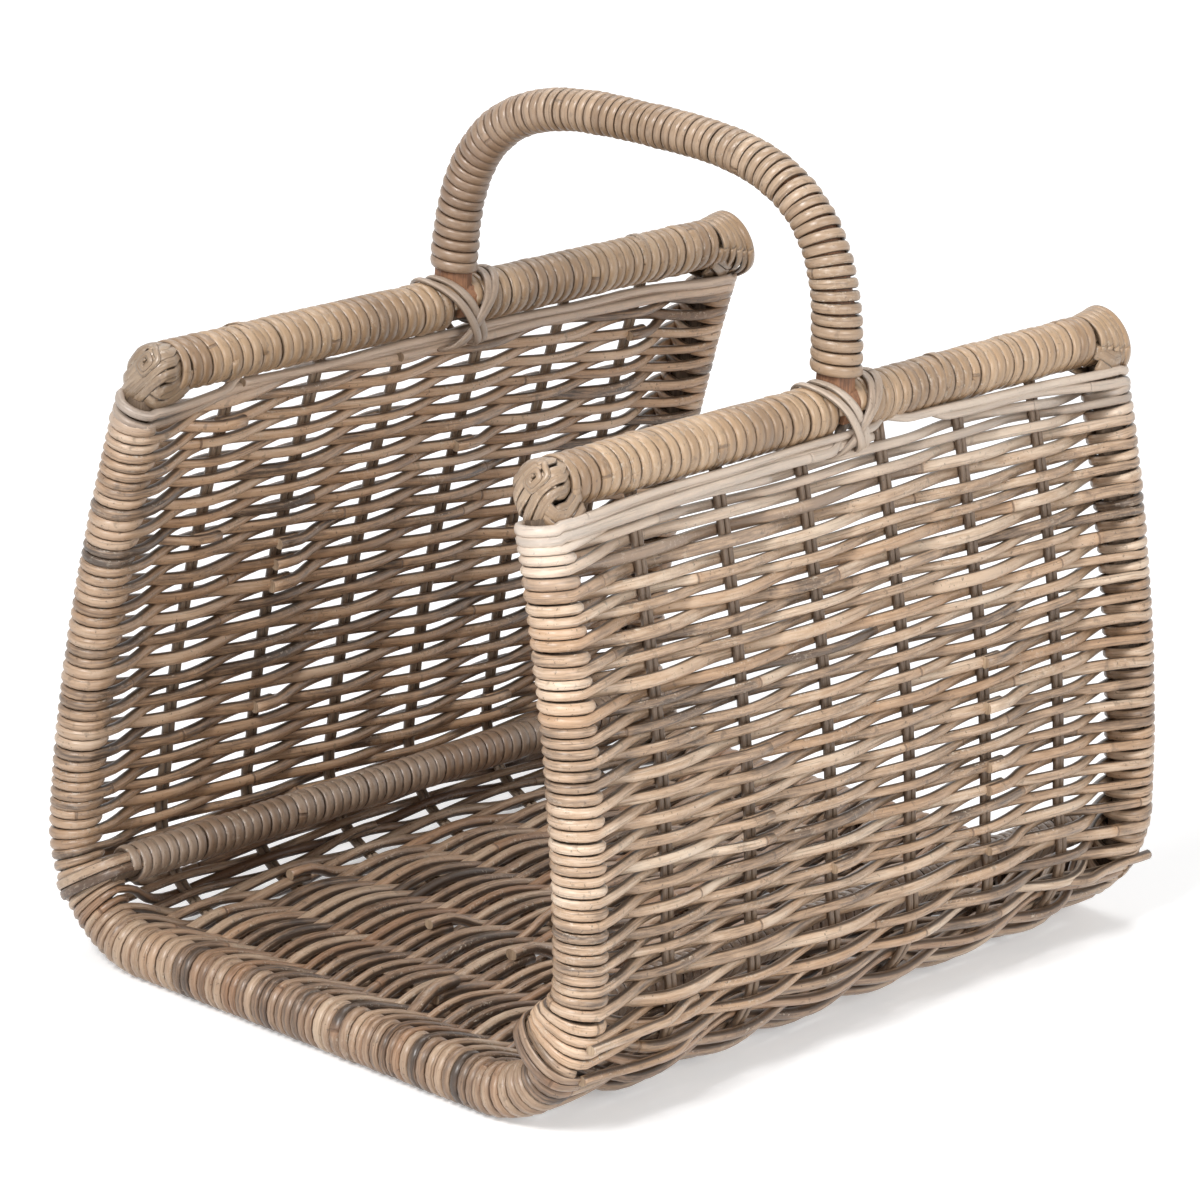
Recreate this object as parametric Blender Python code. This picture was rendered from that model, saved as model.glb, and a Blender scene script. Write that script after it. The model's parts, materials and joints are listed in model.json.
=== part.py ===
"""Open-ended rattan trug with an arched handle.

Two bent frame poles, front and rear, run down one wall, across the floor and up
the other wall. Pairs of thin stakes follow the same line between them. The
weavers run from front to rear, over one pair and under the next, and turn round
a frame pole at the end of each row, so that they are both the wall and the
binding of the frames. A rail lies on the tops of the frames on each side, a base
bar stiffens each lower corner, and the handle stands on the two rails. Rails,
bars and handle are bound in cane, and a crossed lashing holds each handle foot.

Metres, +Z up. X is across the basket, -Y is its front opening, and the origin is
on the ground under the middle.
"""

import math

import bmesh
import bpy
import numpy as np
from mathutils import Matrix, Vector

# Driving sizes: lines run through the middle of the poles
FRAME_SPACING = 0.508
TOP_HALF_WIDTH = 0.1475
BASE_HALF_WIDTH = 0.1975
CORNER_RADIUS = 0.065
RAIL_RISE = 0.350
WALL_SWEEP_POWER = 1.65
HANDLE_RISE = 0.1366
HANDLE_POWER = 3.2

# Poles
FRAME_POLE_RADIUS = 0.009
RAIL_POLE_RADIUS = 0.0115
RAIL_OVERHANG = 0.005
BAR_POLE_RADIUS = 0.008
BAR_OVERHANG = 0.002
HANDLE_CROWN_RADIUS = 0.0095
HANDLE_FOOT_RADIUS = 0.0115
SADDLE_HALF_LENGTH = 0.008
SADDLE_DROP = 0.006

# Stakes and weavers
STAKE_PAIRS = 6
STAKE_RADIUS = 0.0021
STAKE_GAP = 0.0004
WEAVER_HALF_SIDE = 0.0031
WALL_ROWS = 24
FLOOR_ROWS = 32
TURN_STEPS = 4
TOP_HALF_TURNS = 3
FLAT_DEPTH = 0.0005

# Cane bindings
RAIL_CANE_RADIUS = 0.0151
BAR_CANE_RADIUS = 0.011
HANDLE_CANE_THICKNESS = 0.0033
CANE_GROOVE = 0.0009
RAIL_TURNS = 16
BAR_TURNS = 20
HANDLE_TURNS = 24
BINDING_STEPS = 8
BAR_BINDING_END = 0.0165
CAP_LENGTH = 0.014
CAP_RADIUS = 0.0165
CAP_END_THICKNESS = 0.0026
CAP_RIDGE = 0.001
CAP_RIDGES = 2
LASHING_RADIUS = 0.0025
LASHING_STEPS = 24
STRAND_GAP = 0.0008
LASHING_GAP = 0.0005

# Fits and cuts
CLEARANCE = 0.0003
WORKING_GAP = 0.00035
CUT_OVERRUN = 0.02
SMOOTH_ANGLE = math.radians(35)

# Smoothness of the shapes
WALL_STEPS = 6
CORNER_STEPS = 5
POLE_SIDES = 16
HANDLE_POINTS = 25
HANDLE_SAMPLES = 240
GAP_SAMPLES = 6
BAR_ANGLE = math.radians(33)

# Values worked out from the sizes above
BAY = FRAME_SPACING / (STAKE_PAIRS + 1)
FRAME_Y = FRAME_SPACING / 2
ROD_OFFSET = STAKE_RADIUS + STAKE_GAP / 2
TURN_RADIUS = WEAVER_HALF_SIDE + (FRAME_POLE_RADIUS + WORKING_GAP) / math.cos(math.pi / TURN_STEPS / 2)
CORNER_SAG = WEAVER_HALF_SIDE * math.sin(math.pi / 4 / CORNER_STEPS)
CROSSING_CLEARANCE = STAKE_RADIUS + WEAVER_HALF_SIDE + WORKING_GAP + CORNER_SAG
ROD_SHARE = ROD_OFFSET / BAY
CROSSING_OFFSET = (CROSSING_CLEARANCE + TURN_RADIUS * ROD_SHARE) / (1 - ROD_SHARE)
BOUND_FRAME_RADIUS = TURN_RADIUS + WEAVER_HALF_SIDE
TOP_CLIMB = (2 * WEAVER_HALF_SIDE + STRAND_GAP) * TOP_HALF_TURNS / 2
FIRST_ROW_DROP = CAP_RADIUS + WORKING_GAP + WEAVER_HALF_SIDE + TOP_CLIMB
FLOOR_AXIS_Z = BOUND_FRAME_RADIUS - FLAT_DEPTH
RAIL_Z = FLOOR_AXIS_Z + RAIL_RISE


def clear_scene():
    for obj in list(bpy.data.objects):
        bpy.data.objects.remove(obj, do_unlink=True)


def finish(name, colour, roughness):
    """A plain Principled material."""
    material = bpy.data.materials.new(name)
    material.use_nodes = True
    shader = material.node_tree.nodes["Principled BSDF"]
    shader.inputs["Base Color"].default_value = (*colour, 1)
    shader.inputs["Roughness"].default_value = roughness
    shader.inputs["Metallic"].default_value = 0
    return material


def add(name, data, material, location=(0, 0, 0)):
    """One named object under the basket's empty."""
    obj = bpy.data.objects.new(name, data)
    bpy.context.scene.collection.objects.link(obj)
    obj.location = location
    obj.parent = bpy.data.objects["trug"]
    data.materials.append(material)
    return obj


def make_guide(obj):
    obj.hide_render = True
    obj.display_type = "WIRE"
    return obj


def combine(target, other, operation="DIFFERENCE"):
    """A Boolean of the target with a guide object."""
    modifier = target.modifiers.new(f"{operation.lower()}_{other.name}", "BOOLEAN")
    modifier.operation = operation
    modifier.solver = "EXACT"
    modifier.object = make_guide(other)


def smooth(mesh):
    mesh.shade_smooth()
    mesh.set_sharp_from_angle(angle=SMOOTH_ANGLE)


def mesh_from(build):
    """A mesh made by a function that fills an empty bmesh."""
    bm = bmesh.new()
    build(bm)
    bmesh.ops.recalc_face_normals(bm, faces=bm.faces)
    mesh = bpy.data.meshes.new("mesh")
    bm.to_mesh(mesh)
    bm.free()
    smooth(mesh)
    return mesh


def rod_mesh(radius, length, sides=POLE_SIDES):
    """A round bar along Y, centred on its own origin."""

    def build(bm):
        turn = Matrix.Rotation(math.pi / 2, 4, "X")
        bmesh.ops.create_cone(
            bm, cap_ends=True, segments=sides, radius1=radius, radius2=radius, depth=length, matrix=turn
        )

    return mesh_from(build)


def tube_curve(points, radius, resolution, shares=None):
    """A curve with a round bevel through the points; shares scale its radius from point to point."""
    curve = bpy.data.curves.new("tube", "CURVE")
    curve.dimensions = "3D"
    curve.bevel_depth = radius
    curve.bevel_resolution = resolution
    curve.use_fill_caps = True
    spline = curve.splines.new("POLY")
    spline.points.add(len(points) - 1)
    for index, (knot, point) in enumerate(zip(spline.points, points)):
        knot.co = (*point, 1)
        knot.radius = shares[index] if shares else 1
    return curve


def as_mesh(curve):
    """The mesh of a curve, so that Booleans can cut it."""
    holder = bpy.data.objects.new("holder", curve)
    bpy.context.scene.collection.objects.link(holder)
    bpy.context.view_layer.update()
    mesh = bpy.data.meshes.new_from_object(holder.evaluated_get(bpy.context.evaluated_depsgraph_get()))
    bpy.data.objects.remove(holder, do_unlink=True)
    bm = bmesh.new()
    bm.from_mesh(mesh)
    bmesh.ops.remove_doubles(bm, verts=bm.verts, dist=FLAT_DEPTH / 100)
    bmesh.ops.recalc_face_normals(bm, faces=bm.faces)
    bm.to_mesh(mesh)
    bm.free()
    mesh.materials.clear()
    smooth(mesh)
    return mesh


class Line:
    """A line through points, read by the distance along it."""

    def __init__(self, points):
        self.points = points
        self.marks = [0.0]
        for start, end in zip(points, points[1:]):
            self.marks.append(self.marks[-1] + (end - start).length)
        self.length = self.marks[-1]

    def leg(self, distance):
        """The index of the straight stretch that holds this distance."""
        inside = max(i for i, mark in enumerate(self.marks[:-1]) if mark <= distance or i == 0)
        return inside

    def at(self, distance):
        i = self.leg(distance)
        share = (distance - self.marks[i]) / (self.marks[i + 1] - self.marks[i])
        return self.points[i].lerp(self.points[i + 1], share)

    def direction(self, distance, spread):
        """The way the line runs, taken over a short stretch on both sides."""
        low = max(0.0, distance - spread)
        high = min(self.length, distance + spread)
        return (self.at(high) - self.at(low)).normalized()


def section_points():
    """The basket's section: down the left wall, across the floor, up the right wall."""
    drop = RAIL_RISE - CORNER_RADIUS
    half = []
    for i in range(WALL_STEPS):
        share = i / WALL_STEPS
        x = TOP_HALF_WIDTH + (BASE_HALF_WIDTH - TOP_HALF_WIDTH) * (1 - (1 - share) ** WALL_SWEEP_POWER)
        half.append((x, RAIL_RISE - drop * share))
    for i in range(CORNER_STEPS + 1):
        angle = math.pi / 2 * i / CORNER_STEPS
        x = BASE_HALF_WIDTH - CORNER_RADIUS * (1 - math.cos(angle))
        half.append((x, CORNER_RADIUS * (1 - math.sin(angle))))
    left = [Vector((-x, 0, FLOOR_AXIS_Z + z)) for x, z in half]
    right = [Vector((x, 0, FLOOR_AXIS_Z + z)) for x, z in reversed(half)]
    return left + right


SECTION = Line(section_points())

# Distances along the section
CORNER_MARK = SECTION.marks[WALL_STEPS]
CORNER_RUN = SECTION.marks[WALL_STEPS + CORNER_STEPS] - CORNER_MARK
BAR_MARK = CORNER_MARK + CORNER_RUN * BAR_ANGLE / (math.pi / 2)
FLOOR_PITCH = (SECTION.length - 2 * BAR_MARK) / (FLOOR_ROWS - 2)
FLOOR_START = BAR_MARK - FLOOR_PITCH / 2
WALL_PITCH = (FLOOR_START - FLOOR_PITCH - FIRST_ROW_DROP) / (WALL_ROWS - 1)


def on_section(distance, y, outward):
    """A point of the woven sheet: along the section, front to rear, and out from the middle surface."""
    way = SECTION.direction(distance, WEAVER_HALF_SIDE)
    normal = Vector((way.z, 0, -way.x))
    return SECTION.at(distance) + normal * outward + Vector((0, y, 0))


def section_run(start, y):
    """The section's own corners between two ends that lie the same distance from the rails."""
    inner = [p for p, mark in zip(SECTION.points, SECTION.marks) if start < mark < SECTION.length - start]
    ends = [SECTION.at(start), SECTION.at(SECTION.length - start)]
    return [p + Vector((0, y, 0)) for p in [ends[0], *inner, ends[1]]]


def weaver_side(post, row):
    """+1 where a row passes outside a post, -1 inside; posts count the front frame as 0."""
    return 1 if (post + row) % 2 == 0 else -1


def frame_turns(way, start, climb, half_turns=1):
    """Half turns round the front (-1) or rear (+1) frame, from inside the sheet to outside."""
    stations = []
    steps = TURN_STEPS * half_turns
    for step in range(steps + 1):
        share = step / steps
        angle = math.pi * (half_turns * share - 1 / 2)
        y = way * (FRAME_Y + TURN_RADIUS * math.cos(angle))
        stations.append((start + climb * share, y, TURN_RADIUS * math.sin(angle)))
    return stations


def weaver_stations(start, pitch, rows, head, tail):
    """One weaver: rows over and under the stakes, and half a turn round a frame before and after each.

    An end that has a climb, at the head or the tail, is wound round the front
    frame for a few half turns more.
    """
    last_post = STAKE_PAIRS + 1
    stations = frame_turns(-1, start - head, head, TOP_HALF_TURNS if head else 1)
    for row in range(rows):
        distance = start + row * pitch
        forward = row % 2 == 0
        posts = range(1, last_post) if forward else range(last_post - 1, 0, -1)
        for post in posts:
            side = weaver_side(post, row)
            stations.append((distance, post * BAY - FRAME_Y, side * CROSSING_OFFSET))
        if row < rows - 1:
            stations += frame_turns(1 if forward else -1, distance, pitch)
    stations += frame_turns(-1, distance, tail, TOP_HALF_TURNS if tail else 1)
    return stations


def strand_mesh(stations):
    """A square strand through the stations, two of its sides kept level with the woven sheet."""
    points = [on_section(*station) for station in stations]
    corners = ((-1, -1), (1, -1), (1, 1), (-1, 1))

    def build(bm):
        rings = []
        for index, point in enumerate(points):
            before = points[max(index - 1, 0)]
            after = points[min(index + 1, len(points) - 1)]
            run = ((after - point).normalized() + (point - before).normalized()).normalized()
            level = SECTION.direction(stations[index][0], WEAVER_HALF_SIDE)
            level = (level - run * level.dot(run)).normalized()
            upright = run.cross(level)
            rings.append([bm.verts.new(point + (level * a + upright * b) * WEAVER_HALF_SIDE) for a, b in corners])
        for ring, following in zip(rings, rings[1:]):
            for i in range(-1, len(ring) - 1):
                bm.faces.new((ring[i], ring[i + 1], following[i + 1], following[i]))
        bm.faces.new(rings[0])
        bm.faces.new(rings[-1])

    return mesh_from(build)


def least_gap(name, points, radius):
    """Prints the least gap of a strand to itself, measured on points along it."""
    path = np.array([tuple(p) for p in points])
    steps = np.linspace(0, 1, GAP_SAMPLES, endpoint=False)
    path = np.concatenate([a + np.outer(steps, b - a) for a, b in zip(path, path[1:])])
    marks = np.concatenate([[0], np.cumsum(np.linalg.norm(np.diff(path, axis=0), axis=1))])
    apart = np.abs(marks[:, None] - marks[None, :]) > math.pi * 2 * radius
    reach = np.linalg.norm(path[:, None] - path[None, :], axis=2)
    gap = reach[apart].min() - 2 * radius
    print(f"{name}: least gap to itself {gap * 1000:.2f} mm")


def make_frames(material):
    """The two bent poles, coped to sit under the bound rails."""
    for name, y in (("front_frame_pole", -FRAME_Y), ("rear_frame_pole", FRAME_Y)):
        mesh = as_mesh(tube_curve(section_run(0, y), FRAME_POLE_RADIUS, 2))
        frame = add(name, mesh, material)
        for side, x in (("left", -TOP_HALF_WIDTH), ("right", TOP_HALF_WIDTH)):
            radius = (CAP_RADIUS + CLEARANCE) / math.cos(math.pi / POLE_SIDES)
            cope = rod_mesh(radius, 2 * (FRAME_POLE_RADIUS + CUT_OVERRUN))
            cutter = add(f"{name}_{side}_cope", cope, material, (x, y, RAIL_Z))
            combine(frame, cutter)


def make_stakes(material):
    """Pairs of thin rods beside each other, bent to the same line as the frames."""
    start = RAIL_CANE_RADIUS + STAKE_RADIUS + CLEARANCE
    for pair in range(STAKE_PAIRS):
        y = (pair + 1) * BAY - FRAME_Y
        for rod, offset in (("front", -ROD_OFFSET), ("rear", ROD_OFFSET)):
            curve = tube_curve(section_run(start, y + offset), STAKE_RADIUS, 0)
            add(f"stake_{pair + 1}_{rod}_rod", curve, material)


def make_weavers(material):
    """The two walls and the floor, each one unbroken strand."""
    right_start = SECTION.length - FLOOR_START + FLOOR_PITCH
    runs = (
        ("left_wall_weaver", FIRST_ROW_DROP, WALL_PITCH, WALL_ROWS, TOP_CLIMB, 0),
        ("floor_weaver", FLOOR_START, FLOOR_PITCH, FLOOR_ROWS, 0, 0),
        ("right_wall_weaver", right_start, WALL_PITCH, WALL_ROWS, 0, TOP_CLIMB),
    )
    for name, *run in runs:
        stations = weaver_stations(*run)
        least_gap(name, [on_section(*station) for station in stations], WEAVER_HALF_SIDE)
        weaver = add(name, strand_mesh(stations), material)
        if name == "floor_weaver":
            level_underside(weaver, material)


def level_underside(weaver, material):
    """Cuts the turns that the basket stands on flat at ground level."""

    def build(bm):
        bmesh.ops.create_cube(bm, size=1)
        size = Vector((2 * BASE_HALF_WIDTH, FRAME_SPACING, 0)) + Vector((CUT_OVERRUN,) * 3) * 2
        bmesh.ops.scale(bm, vec=size, verts=bm.verts)
        bmesh.ops.translate(bm, vec=(0, 0, -size.z / 2), verts=bm.verts)

    combine(weaver, add("ground_cut", mesh_from(build), material))


def make_binding(name, material, place, radii, turns, length, straight):
    """A cane binding: one strip wound round a pole, its turns side by side.

    place(u, across, up) gives a point at the distance u along the pole, and
    radii(u) the bore, groove and crest radii there. Each turn has a crest
    between two grooves, and its first and last edges climb as a real strip's.
    """
    steps = BINDING_STEPS
    pitch = length / (turns + 1)

    def ring_point(index, u, which):
        angle = 2 * math.pi * index / steps
        radius = radii(u)[which]
        return place(u, radius * math.cos(angle), radius * math.sin(angle))

    def build(bm):
        total = turns * steps
        last = total + steps
        grooves = [bm.verts.new(ring_point(i, pitch * i / steps, 1)) for i in range(last + 1)]
        crests = [bm.verts.new(ring_point(i, pitch * (i / steps + 1 / 2), 2)) for i in range(total + 1)]
        wanted = [i for i in range(last + 1) if i <= steps or i >= total or not straight]
        bores = {i: bm.verts.new(ring_point(i, pitch * i / steps, 0)) for i in wanted}
        for i in range(total):
            bm.faces.new((grooves[i], grooves[i + 1], crests[i + 1], crests[i]))
            bm.faces.new((crests[i], crests[i + 1], grooves[i + steps + 1], grooves[i + steps]))
        for i in range(steps):
            bm.faces.new((grooves[i + 1], grooves[i], bores[i], bores[i + 1]))
            j = total + i
            bm.faces.new((grooves[j], grooves[j + 1], bores[j + 1], bores[j]))
        bm.faces.new((grooves[0], crests[0], grooves[steps], bores[steps], bores[0]))
        bm.faces.new((grooves[total], bores[total], bores[last], grooves[last], crests[total]))
        if straight:
            bm.faces.new([bores[i] for i in (1, 0, steps, total, total + 1)])
            for i in range(1, steps - 1):
                bm.faces.new((bores[i + 1], bores[i], bores[total + i], bores[total + i + 1]))
            bm.faces.new([bores[i] for i in (steps, steps - 1, last - 1, last, total)])
        else:
            for i in range(total):
                bm.faces.new((bores[i + 1], bores[i], bores[i + steps], bores[i + steps + 1]))

    return add(name, mesh_from(build), material)


def bore_radius(pole_radius):
    """The corner radius of a bore with flat sides that clears a round pole."""
    return (pole_radius + CLEARANCE) / math.cos(math.pi / BINDING_STEPS)


def make_rails(pole_material, cane_material):
    """Each rail's pole, its two bindings either side of the handle foot, and its end caps."""
    half = FRAME_Y + RAIL_OVERHANG
    pole_length = 2 * (half - CAP_END_THICKNESS - CLEARANCE)
    binding_start = SADDLE_HALF_LENGTH + CLEARANCE
    binding_end = half - CAP_LENGTH - CLEARANCE
    radii = (bore_radius(RAIL_POLE_RADIUS), RAIL_CANE_RADIUS - CANE_GROOVE, RAIL_CANE_RADIUS)
    for side, x in (("left", -TOP_HALF_WIDTH), ("right", TOP_HALF_WIDTH)):
        centre = Vector((x, 0, RAIL_Z))
        add(f"{side}_rail_pole", rod_mesh(RAIL_POLE_RADIUS, pole_length), pole_material, centre)
        for end, way in (("front", -1), ("rear", 1)):

            def place(u, across, up, centre=centre, way=way):
                return centre + Vector((across, way * (binding_start + u), up))

            make_binding(
                f"{side}_rail_{end}_binding",
                cane_material,
                place,
                lambda u: radii,
                RAIL_TURNS,
                binding_end - binding_start,
                True,
            )
            cap = add(f"{side}_rail_{end}_cap", cap_mesh(), cane_material)
            cap.location = centre + Vector((0, way * half, 0))
            cap.rotation_euler = (0, 0, 0 if way < 0 else math.pi)


def cap_mesh():
    """The crossed strips over a rail's end: a cup whose face has rings of ridges round its middle."""
    bore = (RAIL_POLE_RADIUS + CLEARANCE) / math.cos(math.pi / POLE_SIDES)
    outline = [
        (bore, CAP_LENGTH),
        (RAIL_CANE_RADIUS - CANE_GROOVE, CAP_LENGTH),
        (CAP_RADIUS, CAP_LENGTH / 2),
        (RAIL_CANE_RADIUS - CANE_GROOVE, CAP_END_THICKNESS),
    ]
    step = (RAIL_CANE_RADIUS - CANE_GROOVE) / CAP_RIDGES / 2
    for ridge in range(CAP_RIDGES):
        reach = RAIL_CANE_RADIUS - CANE_GROOVE - (2 * ridge + 1) * step
        outline.append((reach, 0))
        if ridge < CAP_RIDGES - 1:
            outline.append((reach - step, CAP_RIDGE))

    def on_face(edge):
        return all(v.co.y < CAP_END_THICKNESS / 2 for v in edge.verts)

    def build(bm):
        verts = [bm.verts.new((radius, y, 0)) for radius, y in outline]
        edges = [bm.edges.new(pair) for pair in zip(verts, verts[1:])]
        bmesh.ops.spin(
            bm,
            geom=verts + edges,
            axis=(0, 1, 0),
            cent=(0, 0, 0),
            steps=POLE_SIDES,
            angle=2 * math.pi,
            use_merge=True,
        )
        bmesh.ops.remove_doubles(bm, verts=bm.verts, dist=FLAT_DEPTH / 100)
        bmesh.ops.contextual_create(bm, geom=[e for e in bm.edges if e.is_boundary and on_face(e)])
        mouth = [e for e in bm.edges if e.is_boundary]
        wall = bmesh.ops.extrude_edge_only(bm, edges=mouth)["geom"]
        inner = [g for g in wall if isinstance(g, bmesh.types.BMVert)]
        bmesh.ops.translate(bm, vec=(0, CAP_END_THICKNESS - CAP_LENGTH, 0), verts=inner)
        bmesh.ops.contextual_create(bm, geom=[e for e in bm.edges if e.is_boundary])

    return mesh_from(build)


def bar_seat():
    """The middle of the right base bar: as near its corner as the turns on both sides of it let it lie."""
    middle = Vector((BASE_HALF_WIDTH - CORNER_RADIUS, 0, FLOOR_AXIS_Z + CORNER_RADIUS))
    out = Vector((math.cos(BAR_ANGLE), 0, -math.sin(BAR_ANGLE)))
    reach = BAR_POLE_RADIUS + WORKING_GAP
    nearest = CORNER_RADIUS
    for mark in (FLOOR_START, FLOOR_START + FLOOR_PITCH):
        distance = SECTION.length - mark
        way = SECTION.direction(distance, WEAVER_HALF_SIDE)
        face = on_section(distance, 0, -BOUND_FRAME_RADIUS)
        for edge in (-WEAVER_HALF_SIDE, WEAVER_HALF_SIDE):
            corner = face + way * edge - middle
            along = corner.dot(out)
            aside = (corner - out * along).length
            if aside < reach:
                nearest = min(nearest, along - math.sqrt(reach**2 - aside**2))
    return middle + out * (nearest - WORKING_GAP)


def make_base_bars(pole_material, cane_material):
    """The bound bars in the lower corners, resting on the turns round the frames."""
    radii = (bore_radius(BAR_POLE_RADIUS), BAR_CANE_RADIUS - CANE_GROOVE, BAR_CANE_RADIUS)
    start = BAR_BINDING_END - FRAME_Y
    seat = bar_seat()
    for side, sign in (("left", -1), ("right", 1)):
        centre = Vector((sign * seat.x, 0, seat.z))
        pole = rod_mesh(BAR_POLE_RADIUS, FRAME_SPACING + 2 * BAR_OVERHANG)
        add(f"{side}_base_bar_pole", pole, pole_material, centre)

        def place(u, across, up, centre=centre):
            return centre + Vector((across, start + u, up))

        make_binding(
            f"{side}_base_bar_binding", cane_material, place, lambda u: radii, BAR_TURNS, -2 * start, True
        )


def handle_line():
    """The handle's middle line, from rail to rail, in even steps."""
    fine = []
    for i in range(HANDLE_SAMPLES + 1):
        angle = math.pi * i / HANDLE_SAMPLES
        cosine, sine = math.cos(angle), math.sin(angle)
        x = -TOP_HALF_WIDTH * math.copysign(abs(cosine) ** (2 / HANDLE_POWER), cosine)
        fine.append(Vector((x, 0, RAIL_Z + HANDLE_RISE * max(sine, 0) ** (2 / HANDLE_POWER))))
    line = Line(fine)
    return Line([line.at(line.length * i / (HANDLE_POINTS - 1)) for i in range(HANDLE_POINTS)])


def handle_radius(line, u):
    """The pole thickens from the crown to the feet."""
    share = abs(2 * u / line.length - 1)
    return HANDLE_CROWN_RADIUS + (HANDLE_FOOT_RADIUS - HANDLE_CROWN_RADIUS) * share**2


def make_handle(pole_material, cane_material, lashing_material):
    """The arched pole with a saddle at each foot, its binding and the crossed lashings."""
    line = handle_line()
    shares = [handle_radius(line, mark) / HANDLE_FOOT_RADIUS for mark in line.marks]
    mesh = as_mesh(tube_curve(line.points, HANDLE_FOOT_RADIUS, 2, shares))
    pole = add("handle_pole", mesh, pole_material)
    bore = (RAIL_POLE_RADIUS + CLEARANCE) / math.cos(math.pi / POLE_SIDES)
    for side, x in (("left", -TOP_HALF_WIDTH), ("right", TOP_HALF_WIDTH)):
        place = (x, 0, RAIL_Z)
        saddle = add(f"{side}_saddle", saddle_mesh(), pole_material, place)
        combine(pole, saddle, "UNION")
        cutter = add(f"{side}_saddle_bore", rod_mesh(bore, 2 * CUT_OVERRUN), pole_material, place)
        combine(pole, cutter)
        make_lashing(f"{side}_handle_lashing", lashing_material, Vector(place))

    start = RAIL_CANE_RADIUS + CLEARANCE

    def place_on_handle(u, across, up):
        distance = start + u
        way = line.direction(distance, HANDLE_CROWN_RADIUS)
        outward = Vector((-way.z, 0, way.x))
        return line.at(distance) + outward * across + Vector((0, up, 0))

    def radii(u):
        pole_radius = handle_radius(line, start + u)
        crest = pole_radius + HANDLE_CANE_THICKNESS
        return (bore_radius(pole_radius), crest - CANE_GROOVE, crest)

    length = line.length - 2 * start
    make_binding("handle_binding", cane_material, place_on_handle, radii, HANDLE_TURNS, length, False)


def saddle_mesh():
    """The handle's split foot, lapped over the rail: a short round block cut level under the rail's middle."""

    def build(bm):
        turn = Matrix.Rotation(math.pi / 2, 4, "X")
        bmesh.ops.create_cone(
            bm,
            cap_ends=True,
            segments=POLE_SIDES,
            radius1=RAIL_CANE_RADIUS,
            radius2=RAIL_CANE_RADIUS,
            depth=2 * SADDLE_HALF_LENGTH,
            matrix=turn,
        )
        cut = bmesh.ops.bisect_plane(
            bm,
            geom=bm.verts[:] + bm.edges[:] + bm.faces[:],
            plane_co=(0, 0, -SADDLE_DROP),
            plane_no=(0, 0, -1),
            clear_outer=True,
        )
        bmesh.ops.contextual_create(bm, geom=[g for g in cut["geom_cut"] if isinstance(g, bmesh.types.BMEdge)])

    return mesh_from(build)


def make_lashing(name, material, centre):
    """One strand that crosses the handle foot twice: a loop leaning one way, then a wider one the other way."""
    spread = HANDLE_FOOT_RADIUS + HANDLE_CANE_THICKNESS + LASHING_RADIUS + LASHING_GAP
    sag = math.cos(math.pi / LASHING_STEPS)
    inner = (RAIL_CANE_RADIUS + LASHING_RADIUS + LASHING_GAP) / sag
    outer = inner + (2 * LASHING_RADIUS + LASHING_GAP) / sag
    points = []
    for radius, lean, first in ((inner, 1, 1), (outer, -1, 0)):
        for step in range(first, LASHING_STEPS):
            angle = 2 * math.pi * (step + 1 / 2) / LASHING_STEPS
            y = lean * spread * math.cos(angle)
            across = Vector((radius * math.sin(angle), y, -radius * math.cos(angle)))
            points.append(centre + across)
    least_gap(name, points, LASHING_RADIUS)
    add(name, tube_curve(points, LASHING_RADIUS, 1), material)


def main():
    clear_scene()
    trug = bpy.data.objects.new("trug", None)
    bpy.context.scene.collection.objects.link(trug)
    pole = finish("bare_pole", (0.36, 0.17, 0.08), 0.6)
    stake = finish("stake_rod", (0.26, 0.18, 0.12), 0.6)
    weave = finish("weathered_rattan", (0.34, 0.26, 0.19), 0.6)
    cane = finish("binding_cane", (0.38, 0.27, 0.17), 0.4)
    lashing = finish("lashing_cane", (0.50, 0.42, 0.34), 0.5)
    make_frames(pole)
    make_stakes(stake)
    make_weavers(weave)
    make_rails(pole, cane)
    make_base_bars(pole, cane)
    make_handle(pole, cane, lashing)


main()
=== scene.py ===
"""Looks of the open-ended rattan trug with an arched handle.

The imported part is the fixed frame. The woven panels, the cane bindings, the rail
ends, the stakes and the lashings are made here with the number of strands that
the real basket has, and stand for the part's plainer solids.
"""

from __future__ import annotations

import json
import logging
import math
from dataclasses import dataclass, field
from enum import Enum
from typing import Callable, Sequence

import bmesh
import bpy
import numpy as np
from mathutils import Matrix, Vector

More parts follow.
